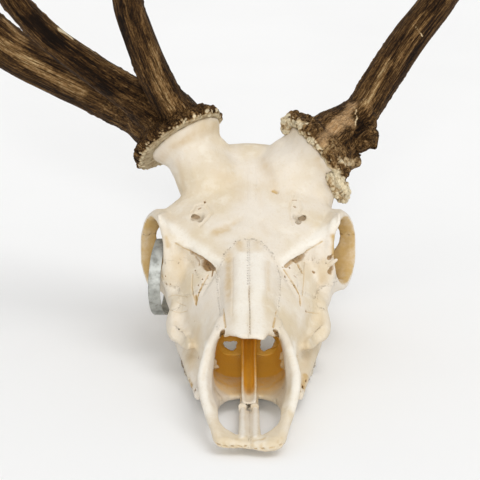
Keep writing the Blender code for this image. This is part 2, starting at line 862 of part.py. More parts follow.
def cut_disc(stations, index, toward, reach=1.5):
    """A thin round cutter across a tube, a little beyond its station number index."""
    here = Vector(stations[index][:3])
    ahead = Vector(stations[index + 1][:3])
    point = here.lerp(ahead, toward)
    turned = (ahead - here).to_track_quat("Z", "Y").to_matrix().to_4x4()
    radius = stations[index][3] * reach
    rings = []
    for level in (-GAP / 2, GAP / 2):
        angles = [math.tau * k / 20 for k in range(20)]
        rings.append([(radius * math.cos(a), radius * math.sin(a), level) for a in angles])
    disc = skin_rings("cut", rings)
    disc.data.transform(Matrix.Translation(mm(*point)) @ turned)
    return disc


def part_antler(body, cuts, names):
    """Parts an antler at its forks; names maps each node to a point near the middle of its piece."""
    combine(body, cuts, "DIFFERENCE", "MANIFOLD")
    pieces = shells(body)
    made = []
    for name, point in names.items():
        spot = mm(*point)
        best = min(pieces, key=lambda p: min((v.co - spot).length for v in p.data.vertices))
        best.name = name
        made.append(best)
    discard([p for p in pieces if p not in made] + [body])
    return made


def antler_right():
    """The right antler: brow and bez tines low down, a trez tine half way and a crown of three."""
    beam = [
        (-60, 313, 174, 33),
        (-71, 322, 182, 31),
        (-88, 332, 191, 25.5),
        (-112.6, 345, 196.6, 20.8),
        (-140, 358, 206.5, 19.2),
        (-167, 370, 217, 19.2),
        (-215, 388, 239, 19.2),
        (-258, 402, 280, 18.5),
        (-293, 408, 340, 18),
        (-314, 402, 410, 18.5),
        (-324, 386, 484, 20),
        (-326, 366, 562, 17.5),
        (-320, 348, 640, 17),
        (-308, 332, 712, 19.5),
        (-296, 322, 765, 13),
        (-288, 316, 810, 9),
        (-281, 312, 850, 2.4),
    ]
    brow = [
        (-57, 306, 188, 18),
        (-68.4, 287, 211, 14.4),
        (-79.4, 268, 237.2, 13.8),
        (-91, 248, 273.7, 13),
        (-97.8, 232, 302, 12.2),
        (-101, 208, 345, 10.4),
        (-100, 180, 392, 9),
        (-95, 152, 440, 6.2),
        (-90, 134, 474, 2.2),
    ]
    bez = [
        (-72, 310, 192, 22),
        (-92.5, 300, 207.5, 17),
        (-117.8, 296, 225, 13.8),
        (-142.8, 292, 243.6, 12.4),
        (-167, 286, 264, 11.5),
        (-194.4, 278, 295.4, 10.6),
        (-218, 262, 340, 9.6),
        (-232, 240, 388, 6.4),
        (-236, 224, 422, 2.2),
    ]
    trez = [
        (-323, 388, 482, 17),
        (-332, 350, 506, 13),
        (-340, 304, 542, 11),
        (-343, 258, 590, 8.4),
        (-340, 228, 636, 5),
        (-337, 214, 664, 2.2),
    ]
    front = [
        (-309, 336, 706, 16),
        (-310, 300, 744, 12),
        (-311, 268, 786, 9.4),
        (-309, 246, 826, 5.4),
        (-307, 238, 850, 2.2),
    ]
    inner = [
        (-306, 334, 716, 15),
        (-276, 346, 758, 11),
        (-248, 354, 796, 8),
        (-229, 357, 828, 2.2),
    ]
    body = rod("antler", beam, sides=14, steps=2)
    tines = [rod("tine", t) for t in (brow, bez, trez, front, inner)]

    def right_swell(a):
        return 1.01 + dent(a, 4.6, 0.5, 0.15) - dent(a, 5.7, 0.4, 0.06) - dent(a, 2.3, 0.4, 0.04)

    # The exact solver leaves open edges among the pearls
    combine(body, [coronet("burr", RIGHT_BURR, 3, right_swell), *tines], "UNION", "MANIFOLD")
    combine(body, [drum("seat", RIGHT_BURR, 70, -60, GAP)], "DIFFERENCE", "MANIFOLD")
    cuts = [
        cut_disc(brow, 2, 0.0),
        cut_disc(bez, 3, 0.0),
        cut_disc(beam, 3, 0.7),
        cut_disc(beam, 12, -0.6),
        cut_disc(trez, 1, 0.0),
        cut_disc(front, 1, 0.5),
        cut_disc(inner, 1, 0.3),
    ]
    names = {
        "antler_right_base": RIGHT_BURR["centre"],
        "antler_right_brow_tine": brow[5][:3],
        "antler_right_bez_tine": bez[5][:3],
        "antler_right_beam": beam[8][:3],
        "antler_right_trez_tine": trez[3][:3],
        "antler_right_crown": beam[14][:3],
        "antler_right_crown_front_tine": front[3][:3],
        "antler_right_crown_inner_tine": inner[2][:3],
    }
    return part_antler(body, cuts, names)


def antler_left():
    """The left antler: one beam without brow tines over an overgrown burr, a trez tine and a fork."""
    beam = [
        (64, 308, 161, 31),
        (74, 316, 171, 24.5),
        (97.6, 330, 190.2, 16),
        (112.8, 343, 210.6, 15.8),
        (138.6, 362, 245.8, 15.8),
        (168, 380, 281, 15.2),
        (202.5, 396, 333, 15.6),
        (235, 405, 400, 17.5),
        (266, 404, 470, 19.5),
        (290, 394, 545, 17.5),
        (304, 378, 620, 17),
        (309, 362, 686, 19),
        (306, 348, 742, 13),
        (297, 335, 796, 9),
        (288, 327, 840, 2.3),
    ]
    trez = [
        (265, 404, 466, 17),
        (277, 368, 487, 12.6),
        (286, 322, 520, 11),
        (290, 282, 566, 8),
        (288, 256, 612, 2.2),
    ]
    rear = [(306, 364, 680, 15), (325, 374, 730, 12), (340, 383, 776, 8), (349, 389, 812, 2.2)]
    drop = [(70, 277, 152, 7), (73, 279, 144, 7.5), (77, 282, 136, 8), (81, 286, 128.5, 7)]
    drop.append((82.5, 288, 122, 4.5))
    body = rod("antler", beam, sides=14, steps=2)
    tines = [rod("tine", t) for t in (trez, rear, drop)]
    lumps = []
    knobs = [(90, 302, 155, 9), (101, 304, 171, 13.5), (34, 309, 185.5, 7.5), (34, 308, 180, 6.5)]
    for x, y, z, r in knobs:
        lumps.append(ball("lump", (x, y, z), (r, r, r * 0.9), detail=1))
    
    def left_swell(a):
        return 1.02 + 0.04 * math.sin(a + 0.2) - dent(a, 4.4, 0.8, 0.3) - dent(a, 1.3, 0.5, 0.05)

    crown = coronet("burr", LEFT_BURR, 8, left_swell)
    combine(body, [crown, *tines, *lumps], "UNION", "MANIFOLD")
    combine(body, [drum("seat", LEFT_BURR, 33, -60, GAP)], "DIFFERENCE", "MANIFOLD")
    cuts = [
        cut_disc(beam, 3, 0.5),
        cut_disc(beam, 10, 0.3),
        cut_disc(trez, 1, 0.0),
        cut_disc(rear, 1, 0.0),
    ]
    names = {
        "antler_left_base": LEFT_BURR["centre"],
        "antler_left_beam": beam[6][:3],
        "antler_left_trez_tine": trez[3][:3],
        "antler_left_crown": beam[13][:3],
        "antler_left_crown_tine": rear[2][:3],
    }
    return part_antler(body, cuts, names)


def tag_band():
    """The flat metal band that hangs in the right eye socket, looped round its lower rim."""
    path = [(240, 100), (226, 91), (218, 76), (216, 58), (224, 42), (240, 35), (255, 39), (264, 56)]
    path += [(265, 79), (255, 95)]
    path.append(path[0])
    rows = through(path, 3)[:-1]
    rings = []
    count = len(rows)
    for i, row in enumerate(rows):
        along = Vector((*(rows[(i + 1) % count] - rows[i - 1]), 0)).normalized()
        out = Vector((along.y, -along.x, 0)) * BAND_THICKNESS / 2
        x = -77.4 + (row[0] - 220) / 44 * 11
        half = BAND_WIDTH / 2
        rings.append(
            [
                (x - half, row[0] + out.x, row[1] + out.y),
                (x + half, row[0] + out.x, row[1] + out.y),
                (x + half, row[0] - out.x, row[1] - out.y),
                (x - half, row[0] - out.x, row[1] - out.y),
            ]
        )
    return skin_rings("tag_band", rings, closed=True)


# Everything together


def set_looks(objects):
    bone = material("bone", (0.80, 0.72, 0.58), 0.62)
    horn = material("antler", (0.10, 0.06, 0.035), 0.6)
    metal = material("band_metal", (0.62, 0.64, 0.62), 0.42, metallic=0.9)
    for piece in objects:
        piece.data.materials.clear()
        chosen = horn if piece.name.startswith("antler") else bone
        piece.data.materials.append(metal if piece.name == "tag_band" else chosen)
        piece.data.shade_smooth()
        piece.data.set_sharp_from_angle(angle=math.radians(40))


def centre_on_floor(objects):
    """Moves everything so that the middle of the whole box's foot is the origin."""
    points = [v.co for piece in objects for v in piece.data.vertices]
    low = Vector([min(p[i] for p in points) for i in range(3)])
    high = Vector([max(p[i] for p in points) for i in range(3)])
    shift = Vector((-(low.x + high.x) / 2, -(low.y + high.y) / 2, -low.z))
    for piece in objects:
        piece.data.transform(Matrix.Translation(shift))


def main():
    discard(list(bpy.data.objects))
    bones = part_bones(skull_master())
    by_name = {bone.name: bone for bone in bones}
    for side, sign in (("right", -1), ("left", 1)):
        add_teeth(by_name[f"maxilla_{side}"], sign)
        add_palate_process(by_name[f"premaxilla_{side}"], sign)
    for bone in bones:
        lighten(bone, TRIANGLES_KEPT * triangles(bone))
    ease_apart(bones)
    pieces = bones + [vomer(), tag_band()] + antler_right() + antler_left()
    by_name = {piece.name: piece for piece in pieces}
    clear_of(by_name["antler_left_base"], by_name["frontal_bone"], "MANIFOLD")
    centre_on_floor(pieces)
    set_looks(pieces)


main()
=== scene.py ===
import math
import time

import bpy
import numpy as np
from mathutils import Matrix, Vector
from mathutils.bvhtree import BVHTree
from mathutils.kdtree import KDTree


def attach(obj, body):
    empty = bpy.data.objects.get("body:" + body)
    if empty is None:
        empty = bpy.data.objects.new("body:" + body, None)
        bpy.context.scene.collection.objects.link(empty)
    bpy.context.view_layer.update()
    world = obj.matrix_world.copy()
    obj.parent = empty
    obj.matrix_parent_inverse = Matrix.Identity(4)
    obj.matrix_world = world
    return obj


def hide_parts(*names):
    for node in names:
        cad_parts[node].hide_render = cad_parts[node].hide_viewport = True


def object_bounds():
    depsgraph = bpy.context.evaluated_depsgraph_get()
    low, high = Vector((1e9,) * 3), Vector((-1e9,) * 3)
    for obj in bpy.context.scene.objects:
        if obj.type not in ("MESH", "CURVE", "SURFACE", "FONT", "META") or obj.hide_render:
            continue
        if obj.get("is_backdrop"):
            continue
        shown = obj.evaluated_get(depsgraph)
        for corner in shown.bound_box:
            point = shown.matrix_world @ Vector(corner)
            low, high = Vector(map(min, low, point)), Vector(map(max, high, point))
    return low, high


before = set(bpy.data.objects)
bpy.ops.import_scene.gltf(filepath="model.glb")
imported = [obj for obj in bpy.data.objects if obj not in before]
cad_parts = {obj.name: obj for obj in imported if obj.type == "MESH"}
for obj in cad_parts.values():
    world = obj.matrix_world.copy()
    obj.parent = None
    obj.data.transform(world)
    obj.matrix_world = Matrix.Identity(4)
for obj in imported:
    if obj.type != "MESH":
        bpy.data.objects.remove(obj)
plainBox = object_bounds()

startTime = time.time()
skullShift = np.array((0.64, -211.97, 0.01))  # from the skull's own millimetres to the floor frame
scene = bpy.context.scene


def report(words):
    print(f"{time.time() - startTime:6.1f} s  {words}")


# Camera, floor and light

cameraView = {
    "tilt": 15,  # degrees that it looks down
    "distance": 1500,
    "aim": (-7, 200, 80),
    "lift": 29.3,  # along the camera's own upward direction
    "pixel": 0.82,  # millimetres in one pixel of the frame, at the aim
    "frame": 480,  # pixels
    "sensor": 36,
    "reach": 60,  # metres
}
tilt = math.radians(cameraView["tilt"])
cameraBack = Vector((0, -math.cos(tilt), math.sin(tilt)))
cameraUp = Vector((0, math.sin(tilt), math.cos(tilt)))
cameraAim = Vector(np.array(cameraView["aim"]) + skullShift) + cameraUp * cameraView["lift"]
cameraPlace = (cameraAim + cameraBack * cameraView["distance"]) / 1000

cameraData = bpy.data.cameras.new("camera")
camera = bpy.data.objects.new("camera", cameraData)
scene.collection.objects.link(camera)
scene.camera = camera
cameraData.sensor_width = cameraView["sensor"]
cameraData.lens = cameraView["sensor"] * cameraView["distance"] / (cameraView["frame"] * cameraView["pixel"])
cameraData.clip_end = cameraView["reach"]
camera.location = cameraPlace
camera.rotation_mode = "QUATERNION"
camera.rotation_quaternion = (-cameraBack).to_track_quat("-Z", "Y")


def sightLine(px, py):
    # direction from the camera through a pixel of the frame
    half = cameraView["frame"] / 2
    step = cameraView["pixel"] / cameraView["distance"]
    across = Vector((1, 0, 0)) * (px - half) * step
    return (-cameraBack + across + cameraUp * (half - py) * step).normalized()


studio = {
    "floor": (0.93, 0.93, 0.925),
    "sky": 0.62,
    "suns": [  # direction that the light comes from, strength, softness in degrees
        ((0.34, -0.38, 0.86), 0.88, 40),
        ((0.0, -0.95, 0.31), 1.08, 12),
        ((-0.2, 0.9, 0.9), 0.3, 60),
    ],
}
scene.view_settings.view_transform = "Standard"
world = bpy.data.worlds.new("studio")
scene.world = world
world.use_nodes = True
world.node_tree.nodes["Background"].inputs["Color"].default_value = (1, 1, 1, 1)
world.node_tree.nodes["Background"].inputs["Strength"].default_value = studio["sky"]
for source, strength, softness in studio["suns"]:
    lamp = bpy.data.lights.new("soft_light", "SUN")
    lamp.energy = strength
    lamp.angle = math.radians(softness)
    stand = bpy.data.objects.new("soft_light", lamp)
    scene.collection.objects.link(stand)
    stand.rotation_mode = "QUATERNION"
    stand.rotation_quaternion = (-Vector(source)).to_track_quat("-Z", "Y")
report("camera and lights")


# Shaders


class Wire:
    # one value of a shader, so that its sums read as plain expressions
    def __init__(self, tree, socket=None):
        self.tree = tree
        self.socket = socket

    def node(self, kind, settings, values, output=0):
        made = self.tree.nodes.new(kind)
        for key, setting in settings.items():
            if key == "stops":
                ramp = made.color_ramp
                while len(ramp.elements) < len(setting):
                    ramp.elements.new(0.5)
                for element, (position, colour) in zip(ramp.elements, setting):
                    element.position = position
                    element.color = colour
            else:
                setattr(made, key, setting)
        for key, value in values.items():
            if isinstance(value, Wire):
                self.tree.links.new(value.socket, made.inputs[key])
            else:
                made.inputs[key].default_value = value
        return Wire(self.tree, made.outputs[output])

    def maths(self, operation, first, second=0.0):
        return self.node("ShaderNodeMath", {"operation": operation}, {0: first, 1: second})

    def __add__(self, other):
        return self.maths("ADD", self, other)

    __radd__ = __add__

    def __sub__(self, other):
        return self.maths("SUBTRACT", self, other)

    def __rsub__(self, other):
        return self.maths("SUBTRACT", other, self)

    def __mul__(self, other):
        return self.maths("MULTIPLY", self, other)

    def __abs__(self):
        return self.maths("ABSOLUTE", self)

    def between(self, low, high):
        # 0 at low, 1 at high, with soft ends
        settings = {"interpolation_type": "SMOOTHSTEP", "clamp": True}
        return self.node("ShaderNodeMapRange", settings, {"Value": self, "From Min": low, "From Max": high})

    def mix(self, first, second):
        # first where this mask is 0, second where it is 1
        settings = {"data_type": "RGBA", "clamp_factor": True}
        return self.node("ShaderNodeMix", settings, {0: self, 6: first, 7: second}, 2)

    def noise(self, where, scale, detail=3.0, roughness=0.55, distortion=0.0):
        values = {"Vector": where, "Scale": scale, "Detail": detail}
        values.update({"Roughness": roughness, "Distortion": distortion})
        return self.node("ShaderNodeTexNoise", {}, values)

    def cells(self, where, scale):
        return self.node("ShaderNodeTexVoronoi", {"feature": "F1"}, {"Vector": where, "Scale": scale})

    def stretched(self, where, scale):
        return self.node("ShaderNodeVectorMath", {"operation": "MULTIPLY"}, {0: where, 1: scale})

    def field(self, name, output=2):
        settings = {"attribute_type": "GEOMETRY", "attribute_name": name}
        return self.node("ShaderNodeAttribute", settings, {}, output)


def linear(code):
    parts = [int(code[i : i + 2], 16) / 255 for i in (0, 2, 4)]
    return tuple(c / 12.92 if c < 0.04045 else ((c + 0.055) / 1.055) ** 2.4 for c in parts) + (1.0,)


def newMaterial(name, colours, **constants):
    made = bpy.data.materials.new(name)
    made.use_nodes = True
    shader = made.node_tree.nodes["Principled BSDF"]
    for key, value in constants.items():
        shader.inputs[key.replace("_", " ")].default_value = value
    start = Wire(made.node_tree)
    where = start.node("ShaderNodeTexCoord", {}, {}, 3)
    return made, shader, start, where, {key: linear(code) for key, code in colours.items()}


def plug(shader, **wires):
    for key, wire in wires.items():
        wire.tree.links.new(wire.socket, shader.inputs[key.replace("_", " ")])


def relief(start, height, distance, strength):
    return start.node("ShaderNodeBump", {}, {"Height": height, "Distance": distance, "Strength": strength})


floorLook, floorShader, start, where, _ = newMaterial("floor", {}, Roughness=0.9)
tone = start.noise(where, 3.0).between(0.2, 0.8)
darker = tuple(c * 0.985 for c in studio["floor"])
plug(floorShader, Base_Color=tone.mix((*studio["floor"], 1), (*darker, 1)))
bpy.ops.object.select_all(action="DESELECT")
bpy.ops.mesh.primitive_plane_add(size=cameraView["reach"], location=(0, 0, 0))
floor = bpy.context.object
floor.name = "floor"
floor.data.materials.append(floorLook)
floor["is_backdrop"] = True


boneFields = ("hollow", "ochre", "gold", "honey", "brown", "tooth", "pale")  # strengths kept in the mesh
boneColours = {
    "cream": "E1D8CA",
    "warm": "D6C6A9",
    "bleached": "EFEADF",
    "ochre": "C2A268",
    "gold": "CF9226",
    "honey": "EBBD4A",
    "brown": "8B6126",
    "holeShade": "4C351C",
    "enamel": "D9CEB8",
    "toothStain": "523820",
}
paintedGlow = 0.08  # strength of the painted glow of the honey parts deep in the nose, which are no lamp


def boneMaterial():
    constants = {"Roughness": 0.6, "Specular_IOR_Level": 0.3, "Emission_Strength": paintedGlow}
    made, shader, start, where, c = newMaterial("bone", boneColours, **constants)
    hollow, ochre, gold, honey, brown, tooth, pale = [start.field(name) for name in boneFields]
    broad = start.noise(where, 16.0, 4.0)
    mottle = start.noise(where, 75.0, 4.0, 0.6)
    fine = start.noise(where, 420.0, 3.0, 0.6)
    grain = start.noise(start.stretched(where, (1.0, 0.3, 1.0)), 900.0, 2.0)
    uneven = (mottle - 0.5) * 0.8 + (fine - 0.5) * 0.35
    base = broad.between(0.36, 0.66).mix(c["cream"], c["warm"])
    base = ((mottle * 0.6 + broad * 0.4).between(0.5, 0.66) * 0.4).mix(base, c["bleached"])
    base = ((pale + uneven * 0.5).between(0.1, 1.0) * 0.7).mix(base, c["bleached"])
    base = ((1 - fine.between(0.28, 0.5)) * 0.12).mix(base, c["ochre"])
    # painted shade: ochre darkens the bone where it is shut in
    stainAndShade = (hollow + uneven * 0.35).between(0.28, 0.9) * 0.72
    base = stainAndShade.mix(base, c["ochre"])
    base = (ochre * (0.5 + mottle) + uneven * ochre.between(0.02, 0.5)).between(0.0, 1.1).mix(base, c["ochre"])
    # honey is a golden colour made bright as painted light deep in the nose; the strongest brown is painted
    # shade in holes
    stainsShadeAndGlow = (honey, "honey", 1, 0.95), (gold, "gold", 0.6, 0.95), (brown, "brown", 0.5, 1)
    for stainAndShade, colour, spread, full in stainsShadeAndGlow:
        base = (stainAndShade + uneven * stainAndShade.between(0.02, 0.5) * spread).between(0.05, full).mix(base, c[colour])
    # painted shade: the strongest brown, in the cores of holes and gaps, turns dark
    base = (brown - 0.7).between(0.0, 0.3).mix(base, c["holeShade"])
    enamel = (fine * 0.5 + mottle * 0.5).between(0.42, 0.66).mix(c["enamel"], c["toothStain"])
    base = tooth.mix(base, enamel)
    pores = start.cells(where, 560.0).between(0.0, 0.36)
    height = fine * 0.5 + grain * 0.3 + pores * 0.3
    plug(shader, Base_Color=base, Normal=relief(start, height, 0.0006, 0.75))
    plug(shader, Roughness=0.5 + mottle * 0.2 - tooth * 0.2)
    # painted glow: the honey parts give off light of their own
    plug(shader, Emission_Color=honey.mix((0, 0, 0, 1), c["honey"]))
    return made


antlerTones = {"groove": "1A1008", "low": "3A2612", "middle": "624727", "high": "947147", "ridge": "C8AD7E"}
antlerColours = {"cream": "F3E3C0", "tallow": "C2A478", "scar": "D6B286", "scarDark": "957045", **antlerTones}
toneStops = (0.0, 0.25, 0.48, 0.72, 1.0)


def antlerMaterial():
    constants = {"Roughness": 0.7, "Specular_IOR_Level": 0.1}
    made, shader, start, where, c = newMaterial("antler", antlerColours, **constants)
    along = start.field("grain", 1)
    ridge, tan, cream, scar = [start.field(name) for name in ("ridge", "tan", "cream", "scar")]
    fibre = start.noise(start.stretched(along, (0.62, 0.62, 0.028)), 1.0, 5.0, 0.66, 0.35)
    thread = start.noise(start.stretched(along, (2.1, 2.1, 0.17)), 1.0, 4.0, 0.75)
    split = start.noise(start.stretched(along, (0.3, 0.3, 0.011)), 1.0, 3.0, 0.55, 0.3)
    patch = start.noise(start.stretched(along, (0.05, 0.05, 0.012)), 1.0, 3.0, 0.5)
    speck = start.noise(where, 520.0, 3.0)
    crack = 1 - abs(split - 0.5).between(0.0, 0.035)
    tone = 0.36 + (fibre - 0.5) * 1.45 + (thread - 0.5) * 1.5 + ridge * 0.2
    tone = tone + tan * 0.4 + (patch - 0.5) * 0.5 + (speck - 0.5) * 0.45 - crack * 0.26
    stops = [(stop, c[name]) for stop, name in zip(toneStops, antlerTones)]
    base = start.node("ShaderNodeValToRGB", {"stops": stops}, {"Fac": tone})
    scarred = (thread * 0.7 + speck * 0.3).between(0.38, 0.62).mix(c["scar"], c["scarDark"])
    base = (scar + (fibre - 0.5) * 1.2 + (speck - 0.5) * 0.8).between(0.2, 1.1).mix(base, scarred)
    creamy = (cream + (speck - 0.5) * 0.5 * cream.between(0.02, 0.4)).between(0.05, 0.9)
    tallow = creamy.between(0.1, 0.55).mix(base, c["tallow"])
    base = creamy.between(0.4, 1.0).mix(tallow, c["cream"])
    height = fibre * 0.6 + thread * 0.6 + speck * 0.2 - crack * 0.5
    plug(shader, Base_Color=base, Normal=relief(start, height * (1 - scar * 0.4), 0.0024, 1.0))
    plug(shader, Roughness=0.6 + speck * 0.25)
    return made


bandColours = {"metal": "B7B9B4", "worn": "8B8C86", "dirt": "6B5B40"}


def bandMaterial():
    made, shader, start, where, c = newMaterial("band_metal", bandColours, Metallic=0.6, Roughness=0.4)
    cloud = start.noise(where, 120.0, 4.0)
    scratch = start.noise(start.stretched(where, (1.0, 0.12, 0.12)), 2600.0, 2.0)
    grime = start.noise(where, 300.0, 4.0, 0.65)
    base = cloud.between(0.4, 0.7).mix(c["metal"], c["worn"])
    base = (grime.between(0.58, 0.75) * 0.6).mix(base, c["dirt"])
    plug(shader, Base_Color=base, Roughness=0.4 + cloud * 0.3)
    plug(shader, Normal=relief(start, scratch * 0.5 + grime * 0.5, 0.0002, 0.5))
    return made


boneLook = boneMaterial()
antlerLook = antlerMaterial()
bandLook = bandMaterial()
report("materials")


# Mesh helpers. Numbers are millimetres in the floor frame


def deselect():
    if bpy.context.mode != "OBJECT":
        bpy.ops.object.mode_set(mode="OBJECT")
    bpy.ops.object.select_all(action="DESELECT")


def pick(piece):
    deselect()
    piece.select_set(True)
    bpy.context.view_layer.objects.active = piece


def joined(piece, others):
    pick(piece)
    for other in others:
        other.select_set(True)
    bpy.ops.object.join()
    return piece


def editAll(piece, action, **settings):
    # one step of editing on the whole mesh
    pick(piece)
    bpy.ops.object.mode_set(mode="EDIT")
    bpy.ops.mesh.select_all(action="SELECT")
    action(**settings)
    bpy.ops.object.mode_set(mode="OBJECT")


def turnOutwards(piece):
    editAll(piece, bpy.ops.mesh.normals_make_consistent, inside=False)


def weld(piece, distance):
    editAll(piece, bpy.ops.mesh.remove_doubles, threshold=distance)


def copyOf(nodes, name):
    made = []
    for node in nodes:
        piece = bpy.data.objects.new(name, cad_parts[node].data.copy())
        scene.collection.objects.link(piece)
        piece.data.materials.clear()
        made.append(piece)
    piece = joined(made[0], made[1:]) if len(made) > 1 else made[0]
    weld(piece, 0.000001)
    turnOutwards(piece)
    return piece


def applyModifier(piece, kind, **settings):
    pick(piece)
    made = piece.modifiers.new(kind.lower(), kind)
    for key, value in settings.items():
        setattr(made, key, value)
    bpy.ops.object.modifier_apply(modifier=made.name)


def remeshed(piece, swell, voxel):
    # an even mesh all over, a little swollen first so that thin places survive
    applyModifier(piece, "DISPLACE", strength=swell, mid_level=0.0)
    applyModifier(piece, "REMESH", mode="VOXEL", voxel_size=voxel)


def points(piece):
    flat = np.empty(len(piece.data.vertices) * 3)
    piece.data.vertices.foreach_get("co", flat)
    return flat.reshape(-1, 3) * 1000


def facing(piece):
    flat = np.empty(len(piece.data.vertices) * 3)
    piece.data.vertex_normals.foreach_get("vector", flat)
    return flat.reshape(-1, 3)


def setPoints(piece, places):
    piece.data.vertices.foreach_set("co", (places / 1000).ravel())
    piece.data.update()


def writeField(piece, name, values):
    if values.ndim == 1:
        made = piece.data.attributes.new(name, "FLOAT", "POINT")
        made.data.foreach_set("value", values)
    else:
        made = piece.data.attributes.new(name, "FLOAT_VECTOR", "POINT")
        made.data.foreach_set("vector", values.ravel())


def soft(values, low, high):
    t = np.clip((values - low) / (high - low), 0, 1)
    return t * t * (3 - 2 * t)


def lumpy(places, size, seed=0):
    # smooth noise from -1 to 1, with bumps of about this size in millimetres
    scaled = places / size
    cell = np.floor(scaled).astype(np.int64)
    part = scaled - cell
    part = part * part * (3 - 2 * part)
    total = np.zeros(len(places))
    for corner in range(8):
        step = np.array([(corner >> k) & 1 for k in range(3)])
        key = (cell + step) @ np.array((374761393, 668265263, 1440662683)) + seed * 974634777
        key = (key ^ (key >> 13)) * 1274126177 & 0xFFFFFFFF
        key = (key ^ (key >> 16)) & 0xFFFFFF
        total += np.prod(np.where(step == 1, part, 1 - part), axis=1) * key / 0xFFFFFF
    return total * 2 - 1


def nearestOn(tree, places):
    spots = np.empty((len(places), 3))
    normals = np.empty((len(places), 3))
    away = np.empty(len(places))
    for i, place in enumerate(places / 1000):
        spot, normal, _, distance = tree.find_nearest(place)
        spots[i] = spot
        normals[i] = normal
        away[i] = distance
    return spots * 1000, normals, away * 1000


def treeOf(piece):
    return BVHTree.FromObject(piece, bpy.context.evaluated_depsgraph_get())


def nearestPlaces(places):
    found = KDTree(len(places))
    for i, place in enumerate(places):
        found.insert(place, i)
    found.balance()
    return found


def refine(piece, wanted):
    # splits the faces whose corners are all wanted
    pick(piece)
    marks = piece.data.vertices
    marks.foreach_set("select", wanted)
    faces = piece.data.polygons
    chosen = [all(wanted[v] for v in face.vertices) for face in faces]
    edges = piece.data.edges
    pairs = np.empty(len(edges) * 2, int)
    edges.foreach_get("vertices", pairs)
    edges.foreach_set("select", wanted[pairs.reshape(-1, 2)].all(axis=1))
    faces.foreach_set("select", chosen)
    bpy.ops.object.mode_set(mode="EDIT")
    bpy.ops.mesh.subdivide(number_cuts=1)
    bpy.ops.object.mode_set(mode="OBJECT")


def addPiece(piece, look):
    piece.data.materials.clear()
    piece.data.materials.append(look)
    pick(piece)
    bpy.ops.object.shade_smooth()
    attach(piece, "root")


def wearLook(piece, look, slotName, *nodes):
    addPiece(piece, look)
    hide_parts(*nodes)


laying = {
    "swell": 0.00012,  # metres
    "facing": 0.3,  # least agreement of a face's direction with the skin's
    "corner": (0.12, 0.4),  # disagreement where the edge of a seam starts and ends
    "sideways": 1.05,  # how far an edge is drawn over its seam
}


def settle(piece, tree, reach):
    # lays the outer surface of a piece on a skin, and leaves the faces where it meets its neighbours
    places = points(piece)
    own = facing(piece)
    spots, normals, away = nearestOn(tree, places)
    match = np.einsum("ij,ij->i", own, normals)
    outer = (away < reach) & (match > laying["facing"])
    sideways = own - normals * match[:, None]
    corner = soft(1 - match, *laying["corner"])
    places[outer] = (spots + sideways * laying["sideways"] * corner[:, None])[outer]
    setPoints(piece, places)
    own[outer] = normals[outer]
    return own, outer, corner * outer


# Bone skin: one smooth surface over all the bones, that each bone then takes its outside from

boneDetail = {
    "skinVoxel": 0.0012,
    "skinSwell": 0.0002,
    "smoothing": 7,
    "voxel": 0.00115,
    "reach": (2.2, 1.0),  # how far a piece is drawn to the skin, before and after its marks are refined
    "margins": (1.2, 0.5),  # around the marks, for each round of refining
}
boneNodes = sorted(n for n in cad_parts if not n.startswith(("antler", "tag")))


def castPixel(px, py, tree):
    hit = tree.ray_cast(cameraPlace, sightLine(px, py))
    return None if hit[0] is None else (np.array(hit[0]) * 1000, np.array(hit[1]))


def onPlane(px, py, depth):
    # where the line through a pixel crosses the upright plane this far back in the skull
    ray = np.array(sightLine(px, py))
    start = np.array(cameraPlace) * 1000
    return start + ray * ((depth + skullShift[1] - start[1]) / ray[1])


def sheet(name, rows, thickness, closed=False):
    # a thin plate through rows of places, each row a line of as many places
    deselect()
    down, across = len(rows), len(rows[0])
    bpy.ops.mesh.primitive_grid_add(x_subdivisions=across - 1, y_subdivisions=down - 1, size=1)
    piece = bpy.context.object
    piece.name = name
    grid = points(piece) / 1000 + 0.5
    column = np.rint(grid[:, 0] * (across - 1)).astype(int)
    row = np.rint(grid[:, 1] * (down - 1)).astype(int)
    setPoints(piece, np.array(rows)[row, column])
    if closed:
        weld(piece, 0.00001)
    applyModifier(piece, "SOLIDIFY", thickness=thickness, offset=0)
    turnOutwards(piece)
    return piece


brow = {
    "thickness": 0.003,
    "sink": 1.3,
    "rows": 6,
    "edge": (227, 0.42, 231),  # how far back it is, how much less for each pixel down, and from which level
    "plates": {  # how much further back, then pixels on the firm part and along the free edge
        "brow_right": (
            0,
            [(166, 212), (170, 217), (175, 223.5), (181, 234), (186, 241), (193, 248)],
            [(158.6, 214), (159.2, 223), (163, 230.8), (168, 235.6), (172.6, 240.2), (182, 248.2)],
        ),
        "under_brow_right": (
            1,
            [(168, 251), (174, 253.5), (181, 256.5), (188, 258.5), (196, 260)],
            [(164, 232), (171, 238), (178, 242.6), (186, 247), (194, 252)],
        ),
        "brow_left": (
            0,
            [(330, 212), (326, 217.6), (322, 223.5), (317, 231.6), (311, 239), (302, 247)],
            [(339.6, 213.6), (339.8, 222.4), (336.8, 228.4), (332.2, 233.6), (327.2, 238.8), (316, 246.4)],
        ),
        "under_brow_left": (
            1,
            [(330, 252), (325, 255.5), (318, 259), (311, 259.5), (303, 259)],
            [(333, 233), (327, 237.6), (319, 242.6), (311, 247), (305, 251)],
        ),
    },
}


def browPlates(tree):
    # the thin edge of the brow, and the thin wall between it and the cheek
    depth, slope, level = brow["edge"]
    away = -np.array(cameraBack) * brow["sink"]
    shares = np.linspace(0, 1, brow["rows"])[:, None, None]
    made = []
    for name, (behind, firmPixels, freePixels) in brow["plates"].items():
        firm = [castPixel(px, py, tree)[0] for px, py in firmPixels]
        free = [onPlane(px, py, depth + behind - slope * (py - level)) for px, py in freePixels]
        rows = np.array(firm) * (1 - shares) + np.array(free) * shares + away
        made.append(sheet(name, rows, brow["thickness"]))
    return made


